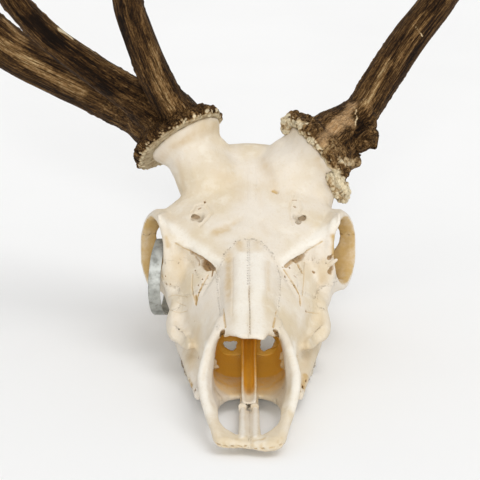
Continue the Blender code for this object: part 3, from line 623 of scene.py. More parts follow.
bareBones = copyOf(boneNodes, "bare_bones")
bareTree = treeOf(bareBones)
boneSkin = joined(bareBones, browPlates(bareTree))
remeshed(boneSkin, boneDetail["skinSwell"], boneDetail["skinVoxel"])
applyModifier(boneSkin, "SMOOTH", factor=0.5, iterations=boneDetail["smoothing"])
boneTree = treeOf(boneSkin)
report(f"bone skin with {len(boneSkin.data.polygons)} faces")


# How shut in each part of the surface is, from rays sent out of it. The bone is painted with ochre shade where
# it is shut in

shade = {
    "rays": 28,
    "spread": 0.92,  # share of the half sphere that they fill
    "start": 0.0026,
    "reach": 0.07,
    "voxel": 0.0045,
    "swell": 0.0002,
    "lift": 3,  # millimetres over the surface that the results are kept at
}


def shutIn():
    everything = copyOf(sorted(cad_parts), "blocker")
    blocker = treeOf(everything)
    coarse = copyOf(sorted(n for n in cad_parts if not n.startswith("tag")), "coarse")
    remeshed(coarse, shade["swell"], shade["voxel"])
    places = points(coarse)
    normals = facing(coarse)
    steps = [(k, 1 - shade["spread"] * (k + 0.5) / shade["rays"]) for k in range(shade["rays"])]
    turns = [(math.acos(height), 2.4 * k) for k, height in steps]
    values = np.empty(len(places))
    for i in range(len(places)):
        normal = Vector(normals[i])
        side = normal.orthogonal().normalized()
        other = normal.cross(side)
        origin = Vector(places[i] / 1000) + normal * shade["start"]
        blocked = 0
        for lean, spin in turns:
            ray = normal * math.cos(lean) + (side * math.cos(spin) + other * math.sin(spin)) * math.sin(lean)
            if blocker.ray_cast(origin, ray, shade["reach"])[0] is not None:
                blocked += 1
        values[i] = blocked / shade["rays"]
    for piece in (everything, coarse):
        bpy.data.objects.remove(piece)
    return nearestPlaces(places + normals * shade["lift"]), values


shutTree, shutValues = shutIn()
report(f"shading of the hollows at {len(shutValues)} places")


def hollowAt(places, normals):
    result = np.empty(len(places))
    for i, place in enumerate(places + normals * shade["lift"]):
        near = shutTree.find_n(place, 4)
        weight = [1 / (distance + 0.5) for _, _, distance in near]
        result[i] = sum(w * shutValues[j] for w, (_, j, _) in zip(weight, near)) / sum(weight)
    return result


# Marks on the bone, each along a path of pixels of the camera's view, with its width in millimetres

boneCuts = [  # then depth, and the strength of the ochre and brown in it; in holes and gaps the brown is painted shade, dark at its strongest
    # holes, pits and edges over the eyes
    ([(193.8, 216.8), (199.8, 220.6)], 2.7, 3.2, 0.3, 0.4),
    ([(297.8, 222), (303.8, 218)], 2.7, 3.2, 0.3, 0.4),
    ([(204.5, 201.4), (204.9, 202.4)], 1.2, 1.6, 0.2, 0.85),
    ([(198.6, 208.4), (200.3, 207.3)], 1.1, 1.4, 0.2, 0.75),
    ([(292.8, 199.6), (296.2, 199.8)], 1, 1, 0.3, 0.55),
    ([(294.3, 205.8), (295.3, 206.4)], 1.1, 1.4, 0.3, 0.7),
    ([(192, 212), (196, 205.7), (203, 204)], 2, 0.5, 0.2, 0),
    ([(206, 205), (211.4, 213.6), (206.4, 219.5), (200, 226)], 2.2, 0.6, 0.22, 0),
    ([(292.9, 195), (289.3, 206.4), (290.7, 216.4), (293, 224)], 2.2, 0.6, 0.22, 0),
    ([(300, 200), (301.5, 207), (299, 213)], 2, 0.5, 0.2, 0),
    ([(273.6, 190.6), (276.4, 192)], 3, 1.5, 0.75, 0.12),
    ([(246.5, 168), (247, 184), (246.5, 199)], 0.9, 0.25, 0.1, 0),
    ([(255, 167), (255.4, 184), (254.6, 200)], 0.9, 0.25, 0.1, 0),
    # under the brow
    ([(176, 243.6), (184, 248.4), (191, 251.6)], 1.4, 0.4, 0.6, 0.05),
    ([(322, 241.6), (315, 246), (307, 251)], 1.4, 0.4, 0.6, 0.05),
    # gap beside the pierced plate of the right side
    ([(191, 252.2), (201, 257.5), (209, 264), (213.5, 269)], 2.4, 2.2, 0.5, 0.55),
    ([(203.4, 262.4), (208.6, 267.4)], 4.4, 3.2, 0.5, 0.66),
    ([(195, 257), (199, 261), (199, 265)], 1.3, 1.2, 0.5, 0.5),
    ([(212.8, 270), (211.8, 276)], 1, 1, 0.4, 0.8), ([(214.5, 269), (220, 279)], 0.8, 0.5, 0.5, 0.2),
    ([(208, 275), (204, 282)], 1, 0.8, 0.6, 0.25),
    ([(203, 283.4), (199, 291.6), (197.2, 297), (196, 304.5)], 1.8, 1, 0.8, 0.3),
    ([(192.5, 274), (191.7, 287), (193, 295), (195.4, 304)], 1.2, 0.7, 0.6, 0.06),
    ([(195, 296), (195.6, 303)], 2.8, 1.5, 0.9, 0.4),
    # and of the left side
    ([(306, 252.4), (299, 257.5), (291, 262), (286, 266)], 2.2, 2, 0.55, 0.45),
    ([(296, 260), (302.6, 256.4)], 3, 2.6, 0.6, 0.5), ([(298.6, 265), (302.4, 272)], 2.2, 1.8, 0.7, 0.4),
    ([(284, 269.6), (290, 278.6)], 1.1, 0.8, 0.6, 0.12),
    ([(291, 280), (297, 289.6), (300, 296), (300.6, 305)], 1.5, 0.9, 0.8, 0.22),
    ([(300.4, 298), (300.8, 303)], 1.9, 1.2, 0.9, 0.3),
    ([(304.5, 262), (304, 280), (302.6, 296)], 1, 0.6, 0.5, 0.05),
    # pits in the pierced plates
    ([(195, 270), (195.3, 270.6)], 1, 1.2, 0.2, 0.8), ([(202, 278.8), (202.4, 279.2)], 1, 1.2, 0.2, 0.8),
    ([(197.8, 284.7), (198.2, 285.3)], 1, 1.2, 0.2, 0.8),
    ([(207.3, 278), (207.5, 278.4)], 0.7, 0.9, 0.2, 0.6),
    ([(285, 275.6), (285.2, 277.4)], 1, 1.2, 0.2, 0.8),
    ([(294.6, 275.6), (296, 276.8)], 1.1, 1.2, 0.2, 0.8),
    ([(289.5, 267), (289.8, 268)], 0.9, 1.2, 0.2, 0.8), ([(282.5, 267), (283.2, 267.4)], 0.9, 1, 0.3, 0.6),
    # notches on both sides of the spur, and pits in the left cheek
    ([(329, 258), (333, 256.6)], 2.4, 2.2, 0.5, 0.6),
    ([(330.5, 271.5), (333.5, 266.5)], 3.2, 2.4, 0.6, 0.6),
    ([(313, 271.6), (314.2, 272.4)], 1.2, 1.4, 0.3, 0.7), ([(306, 311), (307.2, 312)], 1.2, 1.4, 0.3, 0.75),
    ([(310, 306.4), (310.2, 306.8)], 0.8, 1, 0.3, 0.6), ([(309.4, 309), (309.6, 309.4)], 0.7, 1, 0.3, 0.6),
    ([(307, 312), (313, 312.6), (319, 312.2)], 0.7, 0.4, 0.5, 0.15),
    # beside the ends of the nasal bones
    ([(223, 331), (221.6, 335.6), (219.4, 339.6)], 2, 2.2, 0.6, 0.7),
    ([(275.6, 331), (277.4, 335.6), (279.4, 339.6)], 2, 2.2, 0.6, 0.7),
    # pits along the front edge of the premaxilla
    ([(216.4, 443.8), (219.6, 445)], 1.3, 0.8, 0.6, 0.45), ([(224, 446), (227, 446.6)], 1.1, 0.7, 0.6, 0.3),
    ([(231.6, 446.4), (233, 446.8)], 1.3, 0.8, 0.5, 0.5), ([(238, 446), (241.6, 446.8)], 1, 0.6, 0.6, 0.25),
    ([(245, 446.6), (245.8, 446.2)], 1.3, 0.8, 0.5, 0.4),
    ([(254, 449), (256.4, 448.8)], 1.1, 0.7, 0.6, 0.3),
    ([(262, 449.2), (263.4, 448.8)], 1.3, 0.8, 0.5, 0.4), ([(270, 448), (274, 447.4)], 1.1, 0.6, 0.6, 0.25),
    ([(280, 445), (282, 444.2)], 1.2, 0.7, 0.5, 0.35),
    # slit and side edges of the nasal bones
    ([(249.2, 286), (248.9, 297), (249.4, 302)], 0.9, 0.7, 0.5, 0.5),
    ([(249.4, 302), (249.6, 318), (249.9, 334)], 0.7, 0.6, 0.5, 0.4),
    ([(232.4, 258), (232.8, 285), (232, 316)], 1.4, 0.3, 0.3, 0),
    ([(265.4, 264), (266, 284), (268, 300)], 1.4, 0.25, 0.2, 0),
    ([(223, 309), (224.2, 318), (225.3, 327)], 1.2, 0.9, 0.8, 0.12),
    ([(276.5, 311), (275, 318), (273.4, 327)], 1.2, 0.9, 0.8, 0.12),
    # between the teeth, with painted shade in the gaps
    ([(189, 379), (189.6, 380.4)], 1.6, 1.6, 0.3, 0.95), ([(191, 384), (191.8, 386)], 1.6, 1.6, 0.3, 0.95),
    ([(194.4, 389), (195, 391)], 1.5, 1.6, 0.3, 0.9), ([(187.6, 383), (188.4, 386)], 1.2, 1.2, 0.3, 0.8),
    ([(307, 380), (306.4, 382)], 1.6, 1.6, 0.3, 0.95), ([(303.6, 385), (303, 388)], 1.7, 1.6, 0.3, 0.95),
    ([(300.4, 390), (300, 391.4)], 1.3, 1.4, 0.3, 0.85),
    # holes and cracks in the cheeks
    ([(198, 357), (198.3, 357.6)], 1.3, 2, 0.3, 0.85), ([(298, 356), (298.3, 356.6)], 1.3, 2, 0.3, 0.85),
    ([(194, 321), (194.3, 321.4)], 0.9, 0.9, 0.3, 0.6), ([(166, 284), (166.4, 284.4)], 1.2, 1.5, 0.4, 0.7),
    ([(170, 284.4), (170.4, 284.8)], 0.9, 1.2, 0.4, 0.6),
    ([(165, 276), (165.3, 276.6)], 0.9, 1.2, 0.4, 0.6),
    ([(168, 298), (177, 295.5), (188, 297)], 0.7, 0.35, 0.4, 0.05),
    ([(170, 310), (180, 312), (187, 311)], 0.7, 0.35, 0.35, 0.05),
    ([(178, 303), (186, 306)], 0.7, 0.3, 0.35, 0.05),
]
bonePale = [  # bleached places
    ([(244, 256), (243, 292), (242, 332)], 11), ([(256, 256), (257, 292), (257, 332)], 11),
    ([(166, 222), (190, 243), (216, 262)], 11), ([(334, 222), (310, 243), (284, 262)], 11),
    ([(205, 345), (202, 372), (206, 410)], 8), ([(294, 345), (298, 372), (294, 410)], 8),
    ([(242, 396), (242, 436)], 4), ([(255, 396), (255, 436)], 4),
]
boneStainsAndShade = [  # then ochre and gold; a few are painted shade
    ([(216, 172), (236, 186), (240, 200)], 16, 0.3, 0), ([(262, 158), (270, 176), (276, 196)], 14, 0.3, 0),
    ([(258, 190), (262, 206)], 9, 0.2, 0), ([(217, 232.5), (226, 228)], 8, 0.55, 0),
    ([(228, 227), (240, 220)], 6, 0.35, 0), ([(262, 224), (268, 233)], 8, 0.25, 0),
    ([(239, 243), (241, 250)], 7, 0.45, 0), ([(256, 243), (258, 250)], 7, 0.36, 0),
    ([(228, 254), (228.6, 268), (227.6, 285), (228.6, 300)], 8.5, 0.5, 0),
    ([(229, 296), (230, 314)], 8, 0.26, 0), ([(268.5, 262), (268.2, 280), (269, 290)], 3.8, 0.34, 0),
    # painted shade in the pits in front of the eye sockets
    ([(178, 262), (180, 270), (181, 278)], 10, 0.38, 0), ([(322, 262), (324, 272), (322, 282)], 8, 0.4, 0),
    # painted shade on the walls under the brows, at the front of the eye sockets
    ([(333.4, 237), (334, 246), (333.6, 254)], 4.5, 1, 0), ([(166, 237), (168, 246)], 4, 0.5, 0),
    ([(318, 285), (316, 300)], 6, 0.35, 0), ([(152, 171), (170, 151), (190, 138), (213, 128)], 8, 0.42, 0),
    ([(178, 160), (182, 176), (184, 190)], 8, 0.3, 0), ([(318, 160), (330, 178), (336, 192)], 7, 0.4, 0),
    ([(206, 436), (230, 440), (246, 440)], 8, 0.25, 0), ([(288, 436), (270, 441)], 8, 0.22, 0),
    ([(198, 330), (192, 350), (190, 370)], 8, 0.35, 0), ([(304, 335), (307, 355), (308, 372)], 8, 0.28, 0),
    ([(186, 375), (192, 388)], 6, 0.8, 0.15), ([(306, 375), (303, 388)], 6, 0.8, 0.15),
    ([(207, 350), (203, 380)], 3, 0.3, 0),
]
boneSwells = [  # then height: low relief that the light picks up
    ([(239, 246), (240, 262), (240, 300)], 10, 0.7), ([(258, 246), (258, 262), (257, 296)], 10, 0.7),
    ([(177, 320), (179, 334)], 14, -3), ([(320, 320), (318, 336)], 14, -3),
    ([(171, 297), (178, 301)], 10, 2.2), ([(327, 297), (321, 301)], 10, 2.2),
    ([(250, 205), (250, 226)], 16, 0.6), ([(228, 262), (228, 300)], 8, -0.6),
    ([(268, 262), (269, 294)], 8, -0.5), ([(222, 231), (240, 220)], 8, -0.8),
    ([(277, 231), (262, 222)], 8, -0.6), ([(210, 262), (196, 250)], 6, 0.7),
    ([(200, 214), (203, 208)], 6, -0.6), ([(296, 214), (296, 204)], 6, -0.6),
    ([(250, 170), (250.5, 200)], 1.6, 0.35),
]


def pathOn(tree, pixels):
    # the path's places on a surface, close enough together to follow its curves
    found = []
    for (ax, ay), (bx, by) in zip(pixels[:-1], pixels[1:]):
        count = max(1, int(math.hypot(bx - ax, by - ay) / 2.5))
        for k in range(count + 1):
            hit = castPixel(ax + (bx - ax) * k / count, ay + (by - ay) * k / count, tree)
            if hit is not None:
                found.append(hit[0])
    return np.array(found)


def distanceTo(path, places):
    best = np.full(len(places), 1e9)
    for a, b in zip(path[:-1], path[1:]):
        along = b - a
        t = np.clip(((places - a) @ along) / max(along @ along, 1e-6), 0, 1)
        best = np.minimum(best, np.linalg.norm(places - a - t[:, None] * along, axis=1))
    return best


def laidOn(tree, marks):
    laid = [(pathOn(tree, pixels), *rest) for pixels, *rest in marks]
    return [mark for mark in laid if len(mark[0]) > 1]


cutPaths = laidOn(boneTree, boneCuts)
stainAndShadePaths = laidOn(boneTree, boneStainsAndShade)
swellPaths = laidOn(boneTree, boneSwells)
palePaths = laidOn(boneTree, bonePale)


def within(path, margin, places):
    return np.where(((places > path.min(0) - margin) & (places < path.max(0) + margin)).all(axis=1))[0]


def nearMarks(places, margin):
    near = np.zeros(len(places), bool)
    for path, width, *_ in cutPaths:
        inside = within(path, width + margin, places)
        near[inside] |= distanceTo(path, places[inside]) < width + margin
    return near


def around(path, width, places, core):
    # the places within reach of a path, and how strongly each feels it, from 1 in its core to 0 at its width
    inside = within(path, width + 1, places)
    spread = distanceTo(path, places[inside]) * (1 + 0.22 * lumpy(places[inside], 0.6 * width + 1, 5))
    return inside, 1 - soft(spread, core * width, width)


def haze(path, width, places):
    # as around, but fading out softly like a stain
    inside = within(path, 2 * width, places)
    spread = distanceTo(path, places[inside]) * (1 + 0.3 * lumpy(places[inside], width, 6))
    return inside, np.exp(-((spread / (0.62 * width)) ** 2))


def strongest(values, inside, amounts):
    values[inside] = np.maximum(values[inside], amounts)


# the ochre on the walls of the eye sockets is painted shade
orbits = {"centre": (79.5, 249, 88), "radius": 33, "edge": (-3, 5), "turned": (-0.1, 0.45), "ochre": 0.85}


def orbitShade(local, normals):
    # painted shade on the walls of the eye sockets, where they face in towards the middle
    result = np.zeros(len(local))
    inner, outer = orbits["edge"]
    for side in (-1, 1):
        centre = np.array(orbits["centre"]) * (side, 1, 1)
        inward = centre - local
        distance = np.linalg.norm(inward, axis=1)
        turned = np.einsum("ij,ij->i", inward, normals) / np.maximum(distance, 1e-6)
        near = 1 - soft(distance, orbits["radius"] + inner, orbits["radius"] + outer)
        result = np.maximum(result, near * soft(turned, *orbits["turned"]))
    return result


noseStainsAndGlow = {  # start and end of each soft step, in millimetres behind the front or off the middle
    "shut": (0.42, 0.72),
    "mouth": (30, 90),
    "back": 215,
    "wide": 37,
    "honey": (124, 143),
    # the depths over which the honey's painted light grows in
    "haze": (84, 122),
    "middle": (-15, -6),
}
troughStainsAndGlow = {  # the same for the vomer
    "walls": (-5.4, -3.4),
    "gold": (79, 100),
    "brown": (82, 92),
    "front": (-118, -92),
    "middle": (-3.8, -0.8),
    "sides": (88, 118),
    "honey": (84, 128),
    "ochre": (76, 96),
}


def insideNose(node, local, hollow, normals):
    # honey far back in the nose, where it is shut in: a golden colour that is also painted light, bright and
    # glowing; gold in the trough of the vomer, and ochre nearer its mouth
    across, depth = np.abs(local[:, 0]), local[:, 1]
    shut = soft(hollow, *noseStainsAndGlow["shut"]) * (across < noseStainsAndGlow["wide"])
    shut = shut * soft(depth, *noseStainsAndGlow["mouth"]) * (depth < noseStainsAndGlow["back"])
    honey = shut * soft(depth, *noseStainsAndGlow["honey"])
    brown = honey * (0.3 * np.clip(lumpy(local, 13, 51), 0, 1) + 0.3 * soft(-across, *noseStainsAndGlow["middle"]))
    honey = np.maximum(honey, (0.22 + 0.34 * soft(depth, *noseStainsAndGlow["haze"])) * shut)
    ochre = shut * 0.1
    gold = np.zeros(len(local))
    if node == "vomer":
        steps = {key: soft(depth, *troughStainsAndGlow[key]) for key in ("gold", "brown", "sides", "honey", "ochre")}
        trough = soft(-across, *troughStainsAndGlow["walls"]) * (normals[:, 2] > -0.2)
        gold = np.maximum(steps["gold"] * trough, 0.85 * steps["sides"] * (1 - trough))
        brown = steps["brown"] * (0.4 + 0.22 * soft(-depth, *troughStainsAndGlow["front"]))
        brown = brown * soft(-across, *troughStainsAndGlow["middle"]) * trough
        # painted light: the vomer's shaded outer sides take the glowing honey
        honey = steps["honey"] * (1 - trough) * 0.6
        ochre = 0.5 * steps["ochre"]
    return {"honey": honey, "gold": gold, "brown": brown, "ochre": ochre, "hollow": hollow * (1 - 0.6 * shut)}


burrs = {  # the burrs of the antlers; level is measured along the axis, away from the skull
    "right": {
        "centre": (-58.6, 310.6, 170),
        "axis": (-0.497, 0.412, 0.764),
        "radius": 39.5,
        "seed": 3,
        "wild": 0.4,  # how much it crumbles
        "rim": (0.2, 13, 0.8),  # levels and share of the radius that carry pearls
        "pearls": 0.9,
        "size": 0.85,
        "flare": 0.3,  # of the stump under it
    },
    "left": {
        "centre": (60.5, 306, 157),
        "axis": (0.76, 0.18, 0.60),
        "radius": 38,
        "seed": 9,
        "wild": 1.0,
        "rim": (-17, 17, 0.74),
        "pearls": 0.85,
        "size": 1.1,
        "flare": 0.16,
    },
}
stump = {"rise": (-17, -1), "end": 4, "radius": 46}  # levels and radius of the pedicles
frontSlit = {"along": (22, 66), "end": 90, "near": 6, "open": 0.8}


def burrFrame(burr):
    axis = np.array(burr["axis"])
    return np.array(burr["centre"]) + skullShift, axis / np.linalg.norm(axis)


def burrPlace(burr, places):
    centre, axis = burrFrame(burr)
    level = (places - centre) @ axis
    ring = places - centre - level[:, None] * axis
    return level, np.linalg.norm(ring, axis=1), ring


def flarePedicles(places):
    # widens the stumps under the antlers towards the burrs
    for burr in burrs.values():
        level, radial, ring = burrPlace(burr, places)
        share = soft(level, *stump["rise"]) * (radial < stump["radius"]) * (level < stump["end"])
        places = places + ring * (share * burr["flare"])[:, None]
    return places


def partPlates(places):
    # opens the slit between the front ends of the two middle plates of the premaxilla
    local = places - skullShift
    along = soft(local[:, 1], *frontSlit["along"]) * (local[:, 1] < frontSlit["end"])
    near = np.clip(1 - np.abs(local[:, 0]) / frontSlit["near"], 0, 1)
    places[:, 0] += np.sign(local[:, 0]) * near * along * frontSlit["open"]
    return places


boneSurface = {
    "waves": 0.14,
    "grit": 0.05,
    "lip": 0.45,  # relief along the front edge of the premaxilla
    "lipDepth": (-14, -4),
    "deep": 2,  # depth from which a cut has steep walls
    "core": (0.2, 0.55),  # share of a cut's width that is flat, in a shallow one and a deep one
    "toothLine": 15,
    "toothRow": (130, 240, 24),  # from the front, to the back, and off the middle
}


def teethOf(node, local):
    line = boneSurface["toothLine"]
    front, back, inner = boneSurface["toothRow"]
    row = (local[:, 1] > front) & (local[:, 1] < back) & (np.abs(local[:, 0]) > inner)
    return soft(-local[:, 2], -line - 2, -line) * row * node.startswith("maxilla")


def shapeBone(node):
    piece = copyOf([node], node + "_surface")
    if node == "frontal_bone":
        piece = joined(piece, browPlates(bareTree))
    remeshed(piece, laying["swell"], boneDetail["voxel"])
    first, last = boneDetail["reach"]
    settle(piece, boneTree, first)
    for margin in boneDetail["margins"]:
        near = nearMarks(points(piece), margin)
        if near.any():
            refine(piece, near)
    normals, outer, seam = settle(piece, boneTree, last)
    places = points(piece)
    push = boneSurface["waves"] * lumpy(places, 7, 1) + boneSurface["grit"] * lumpy(places, 2.2, 2)
    lip = soft(skullShift[1] - places[:, 1], *boneSurface["lipDepth"]) * node.startswith("premaxilla")
    push += lip * boneSurface["lip"] * lumpy(places, 2.6, 8)
    # painted shade of the hollows, kept off the seams
    hollow = hollowAt(places, normals) * (1 - seam)
    fields = insideNose(node, places - skullShift, hollow, normals)
    fields["pale"] = np.zeros(len(places))
    for path, width, depth, ochre, brown in cutPaths:
        core = boneSurface["core"][depth > boneSurface["deep"]]
        inside, amount = around(path, width, places, core)
        push[inside] -= amount * depth
        strongest(fields["ochre"], inside, amount * ochre)
        strongest(fields["brown"], inside, amount * brown)
    for path, width, ochre, gold in stainAndShadePaths:
        inside, amount = haze(path, width, places)
        strongest(fields["ochre"], inside, amount * ochre)
        strongest(fields["gold"], inside, amount * gold)
    for path, width, height in swellPaths:
        inside, amount = haze(path, width, places)
        push[inside] += amount * height
    for path, width in palePaths:
        strongest(fields["pale"], *haze(path, width, places))
    # painted shade in the eye sockets
    socket = orbitShade(places - skullShift, normals) * orbits["ochre"]
    lipStain = lip * np.clip(0.12 + 0.45 * lumpy(places, 3, 9), 0, 1)
    fields["ochre"] = np.maximum(fields["ochre"], np.maximum(socket, lipStain))
    places[outer] += (normals * push[:, None])[outer]
    if node.startswith("premaxilla"):
        places = partPlates(places)
    if node == "frontal_bone":
        places = flarePedicles(places)
    places[:, 2] = np.maximum(places[:, 2], 0.0)
    fields["tooth"] = teethOf(node, places - skullShift)
    setPoints(piece, places)
    for name in boneFields:
        writeField(piece, name, fields[name])
    wearLook(piece, boneLook, "bone", node)
    return piece


for node in boneNodes:
    made = shapeBone(node)
    report(f"{node}: {len(made.data.polygons)} faces")
bpy.data.objects.remove(boneSkin)


# Broken edges of the thin bone plates inside the nose. Each pair is a rooted place and a free one, in pixels

nosePlates = {
    "window": {
        "closed": True,
        "depth": 208,
        "lean": 1.0,  # how much less deep for each pixel below the level
        "jitter": 0.45,
        # the honey makes these remnants glow: painted light
        "fields": {"honey": 0.8, "brown": 0.38},
        "right": [
            ((212, 345), (222.3, 344.6)), ((213, 349), (224, 347.4)), ((218, 352.6), (226.7, 348.3)),
            ((224, 354.6), (229.5, 350.4)), ((232, 355.6), (232.2, 351)), ((239, 355), (234.6, 350.2)),
            ((245, 353), (236.2, 348.6)), ((246, 350), (236.4, 345.6)), ((246, 340), (237.4, 343)),
            ((243, 329), (236.6, 341.2)), ((233, 326), (232.8, 340.6)), ((224, 327), (229, 341.4)),
            ((217, 331), (225.6, 340.8)), ((213, 337), (223.2, 342.4)),
        ],
        "left": [
            ((253, 350), (260, 347.8)), ((253, 338), (260.4, 341.8)), ((255, 329), (262, 336)),
            ((266, 326), (270, 333)), ((277, 328), (274, 337.6)), ((283, 333), (276.6, 341.6)),
            ((287, 342), (277.6, 345)), ((286, 348), (276.4, 347.6)), ((281, 352.4), (272.2, 348.3)),
            ((274, 354.4), (267, 349.8)), ((264, 356), (263.4, 351.8)), ((256, 354.4), (261, 350)),
        ],
    },
    "palate_plate": {
        "closed": False,
        "depth": 71,
        "lean": 0.0,
        "jitter": 0.1,
        "fields": {"ochre": 0.12},
        "right": [
            ((239.4, 413), (238.3, 406)), ((240.6, 413), (239.4, 404.2)), ((242.6, 413), (241.9, 403.6)),
            ((244.8, 413), (244.6, 404)), ((246.6, 413), (246.5, 405.6)),
        ],
        "left": [
            ((250.6, 413), (250.5, 405.4)), ((252.2, 413), (252, 403.9)), ((254.6, 413), (254.8, 403.4)),
            ((256.8, 413), (257.4, 404)), ((258.4, 413), (258.9, 405.8)),
        ],
    },
    "turbinate": {
        "closed": False,
        "depth": 118,
        "lean": 0.0,
        "jitter": 0.45,
        "fields": {"ochre": 0.7},
        "right": [
            ((205, 347), (213.6, 351)), ((205, 351), (215.4, 354.6)), ((204, 355), (214.8, 358.2)),
            ((204, 359), (216.6, 361.6)), ((203, 363), (216.4, 364)), ((203, 366), (219.4, 367.4)),
            ((203, 369), (216.4, 368.6)), ((203, 371), (212.6, 369.6)), ((202, 374), (208, 371.4)),
        ],
        "left": [
            ((291, 347), (283, 350.6)), ((292, 351), (280.4, 354.4)), ((292, 355), (279.2, 358.6)),
            ((293, 359), (281.8, 360.8)), ((293, 363), (280.2, 363.8)), ((293, 366), (281, 367.2)),
            ((294, 370), (283.4, 369.4)), ((294, 373), (287, 368.6)),
        ],
    },
}
plateDetail = {"thickness": 0.0011, "steps": 5, "rows": 5, "level": 333, "waves": 0.8, "seed": 60}


def brokenPlate(name, plan, pairs, seed):
    rng = np.random.default_rng(seed)
    pairs = pairs + pairs[:1] * plan["closed"]
    stations = np.linspace(0, len(pairs) - 1, (len(pairs) - 1) * plateDetail["steps"] + 1)
    flat = np.array(pairs).reshape(len(pairs), 4)
    flat = np.stack([np.interp(stations, range(len(pairs)), flat[:, k]) for k in range(4)], axis=1)
    flat[:, 2:] += rng.uniform(-1, 1, (len(flat), 2)) * plan["jitter"]
    if plan["closed"]:
        flat[-1] = flat[0]
    rows = []
    for share in np.linspace(0, 1, plateDetail["rows"]):
        line = flat[:, :2] * (1 - share) + flat[:, 2:] * share
        depths = plan["depth"] - plan["lean"] * (line[:, 1] - plateDetail["level"])
        row = np.array([onPlane(px, py, depth) for (px, py), depth in zip(line, depths)])
        row[:, 1] += plateDetail["waves"] * lumpy(row, 5, seed)
        rows.append(row)
    piece = sheet(name, rows, plateDetail["thickness"], plan["closed"])
    evenBone(piece, plan["fields"])


def evenBone(piece, fields):
    # the look of bone, with the same strength of each field all over: stains, pale, and the honey's painted
    # glow
    for field, amount in fields.items():
        writeField(piece, field, np.full(len(piece.data.vertices), amount))
    addPiece(piece, boneLook)


plates = [(kind, side) for kind in nosePlates for side in ("right", "left")]
for seed, (kind, side) in enumerate(plates, plateDetail["seed"]):
    plan = nosePlates[kind]
    brokenPlate(f"{kind}_{side}_remnant", plan, plan[side], seed)
report("plates inside the nose")

spur = {  # by the left eye socket, from its root to its tip
    "root": (325.4, 267.4),
    "tip": (337.4, 259),
    "depth": (217.5, 216.5),
    "radius": (2.3, 1.6),
}


def boneSpur():
    root = onPlane(*spur["root"], spur["depth"][0])
    tip = onPlane(*spur["tip"], spur["depth"][1])
    length = np.linalg.norm(tip - root)
    axis = (tip - root) / length
    side = np.cross(axis, (0, 1, 0))
    side /= np.linalg.norm(side)
    other = np.cross(axis, side)
    deselect()
    bpy.ops.mesh.primitive_uv_sphere_add(segments=28, ring_count=24, radius=1)
    piece = bpy.context.object
    piece.name = "lacrimal_spur"
    ball = points(piece) / 1000
    share = (ball[:, 2] + 1) / 2
    radius = spur["radius"][0] + (spur["radius"][1] - spur["radius"][0]) * share
    girth = radius / np.maximum(np.linalg.norm(ball[:, :2], axis=1), 1e-4) ** 0.5
    places = root + share[:, None] * length * axis
    places += (ball[:, :1] * side + ball[:, 1:2] * other) * girth[:, None]
    places += 0.25 * lumpy(places, 2.5, 77)[:, None]
    setPoints(piece, places)
    writeField(piece, "ochre", 0.3 * (1 - share))
    addPiece(piece, boneLook)


boneSpur()

suture = {  # filled seams around the nasal bones
    "width": 4.5,
    "sink": 0.55,
    "thickness": 0.0004,
    "pale": 0.6,
    "paths": {  # in pixels
        "nasal_arch": [
            (220.4, 309), (218.4, 291), (217.9, 275), (219.6, 266), (222, 259.7), (225.9, 253.5),
            (229.3, 248.3), (233.8, 242.8), (239.5, 239.9), (248.7, 239), (256.6, 239.9), (263.5, 243.3),
            (269.2, 248.3), (273.7, 254.7), (277, 260), (280, 267), (281.2, 275), (280.5, 291),
            (278.4, 303),
        ],
        "nasal_middle": [(248.7, 239.4), (248.8, 284)],
    },
}


def fillSuture(name, pixels):
    spine = pathOn(boneTree, pixels)
    apart = np.linalg.norm(np.diff(spine, axis=0), axis=1) > 0.3
    spine = spine[np.append(True, apart)]
    _, normals, _ = nearestOn(boneTree, spine)
    side = np.cross(np.gradient(spine, axis=0), normals)
    side *= suture["width"] / 2 / np.linalg.norm(side, axis=1)[:, None]
    rows = []
    for step in (-1, 0, 1):
        row, normals, _ = nearestOn(boneTree, spine + side * step)
        rows.append(row - normals * suture["sink"])
    strip = sheet(name + "_suture", rows, suture["thickness"])
    evenBone(strip, {"pale": suture["pale"]})


for name, pixels in suture["paths"].items():
    fillSuture(name, pixels)


# Antlers

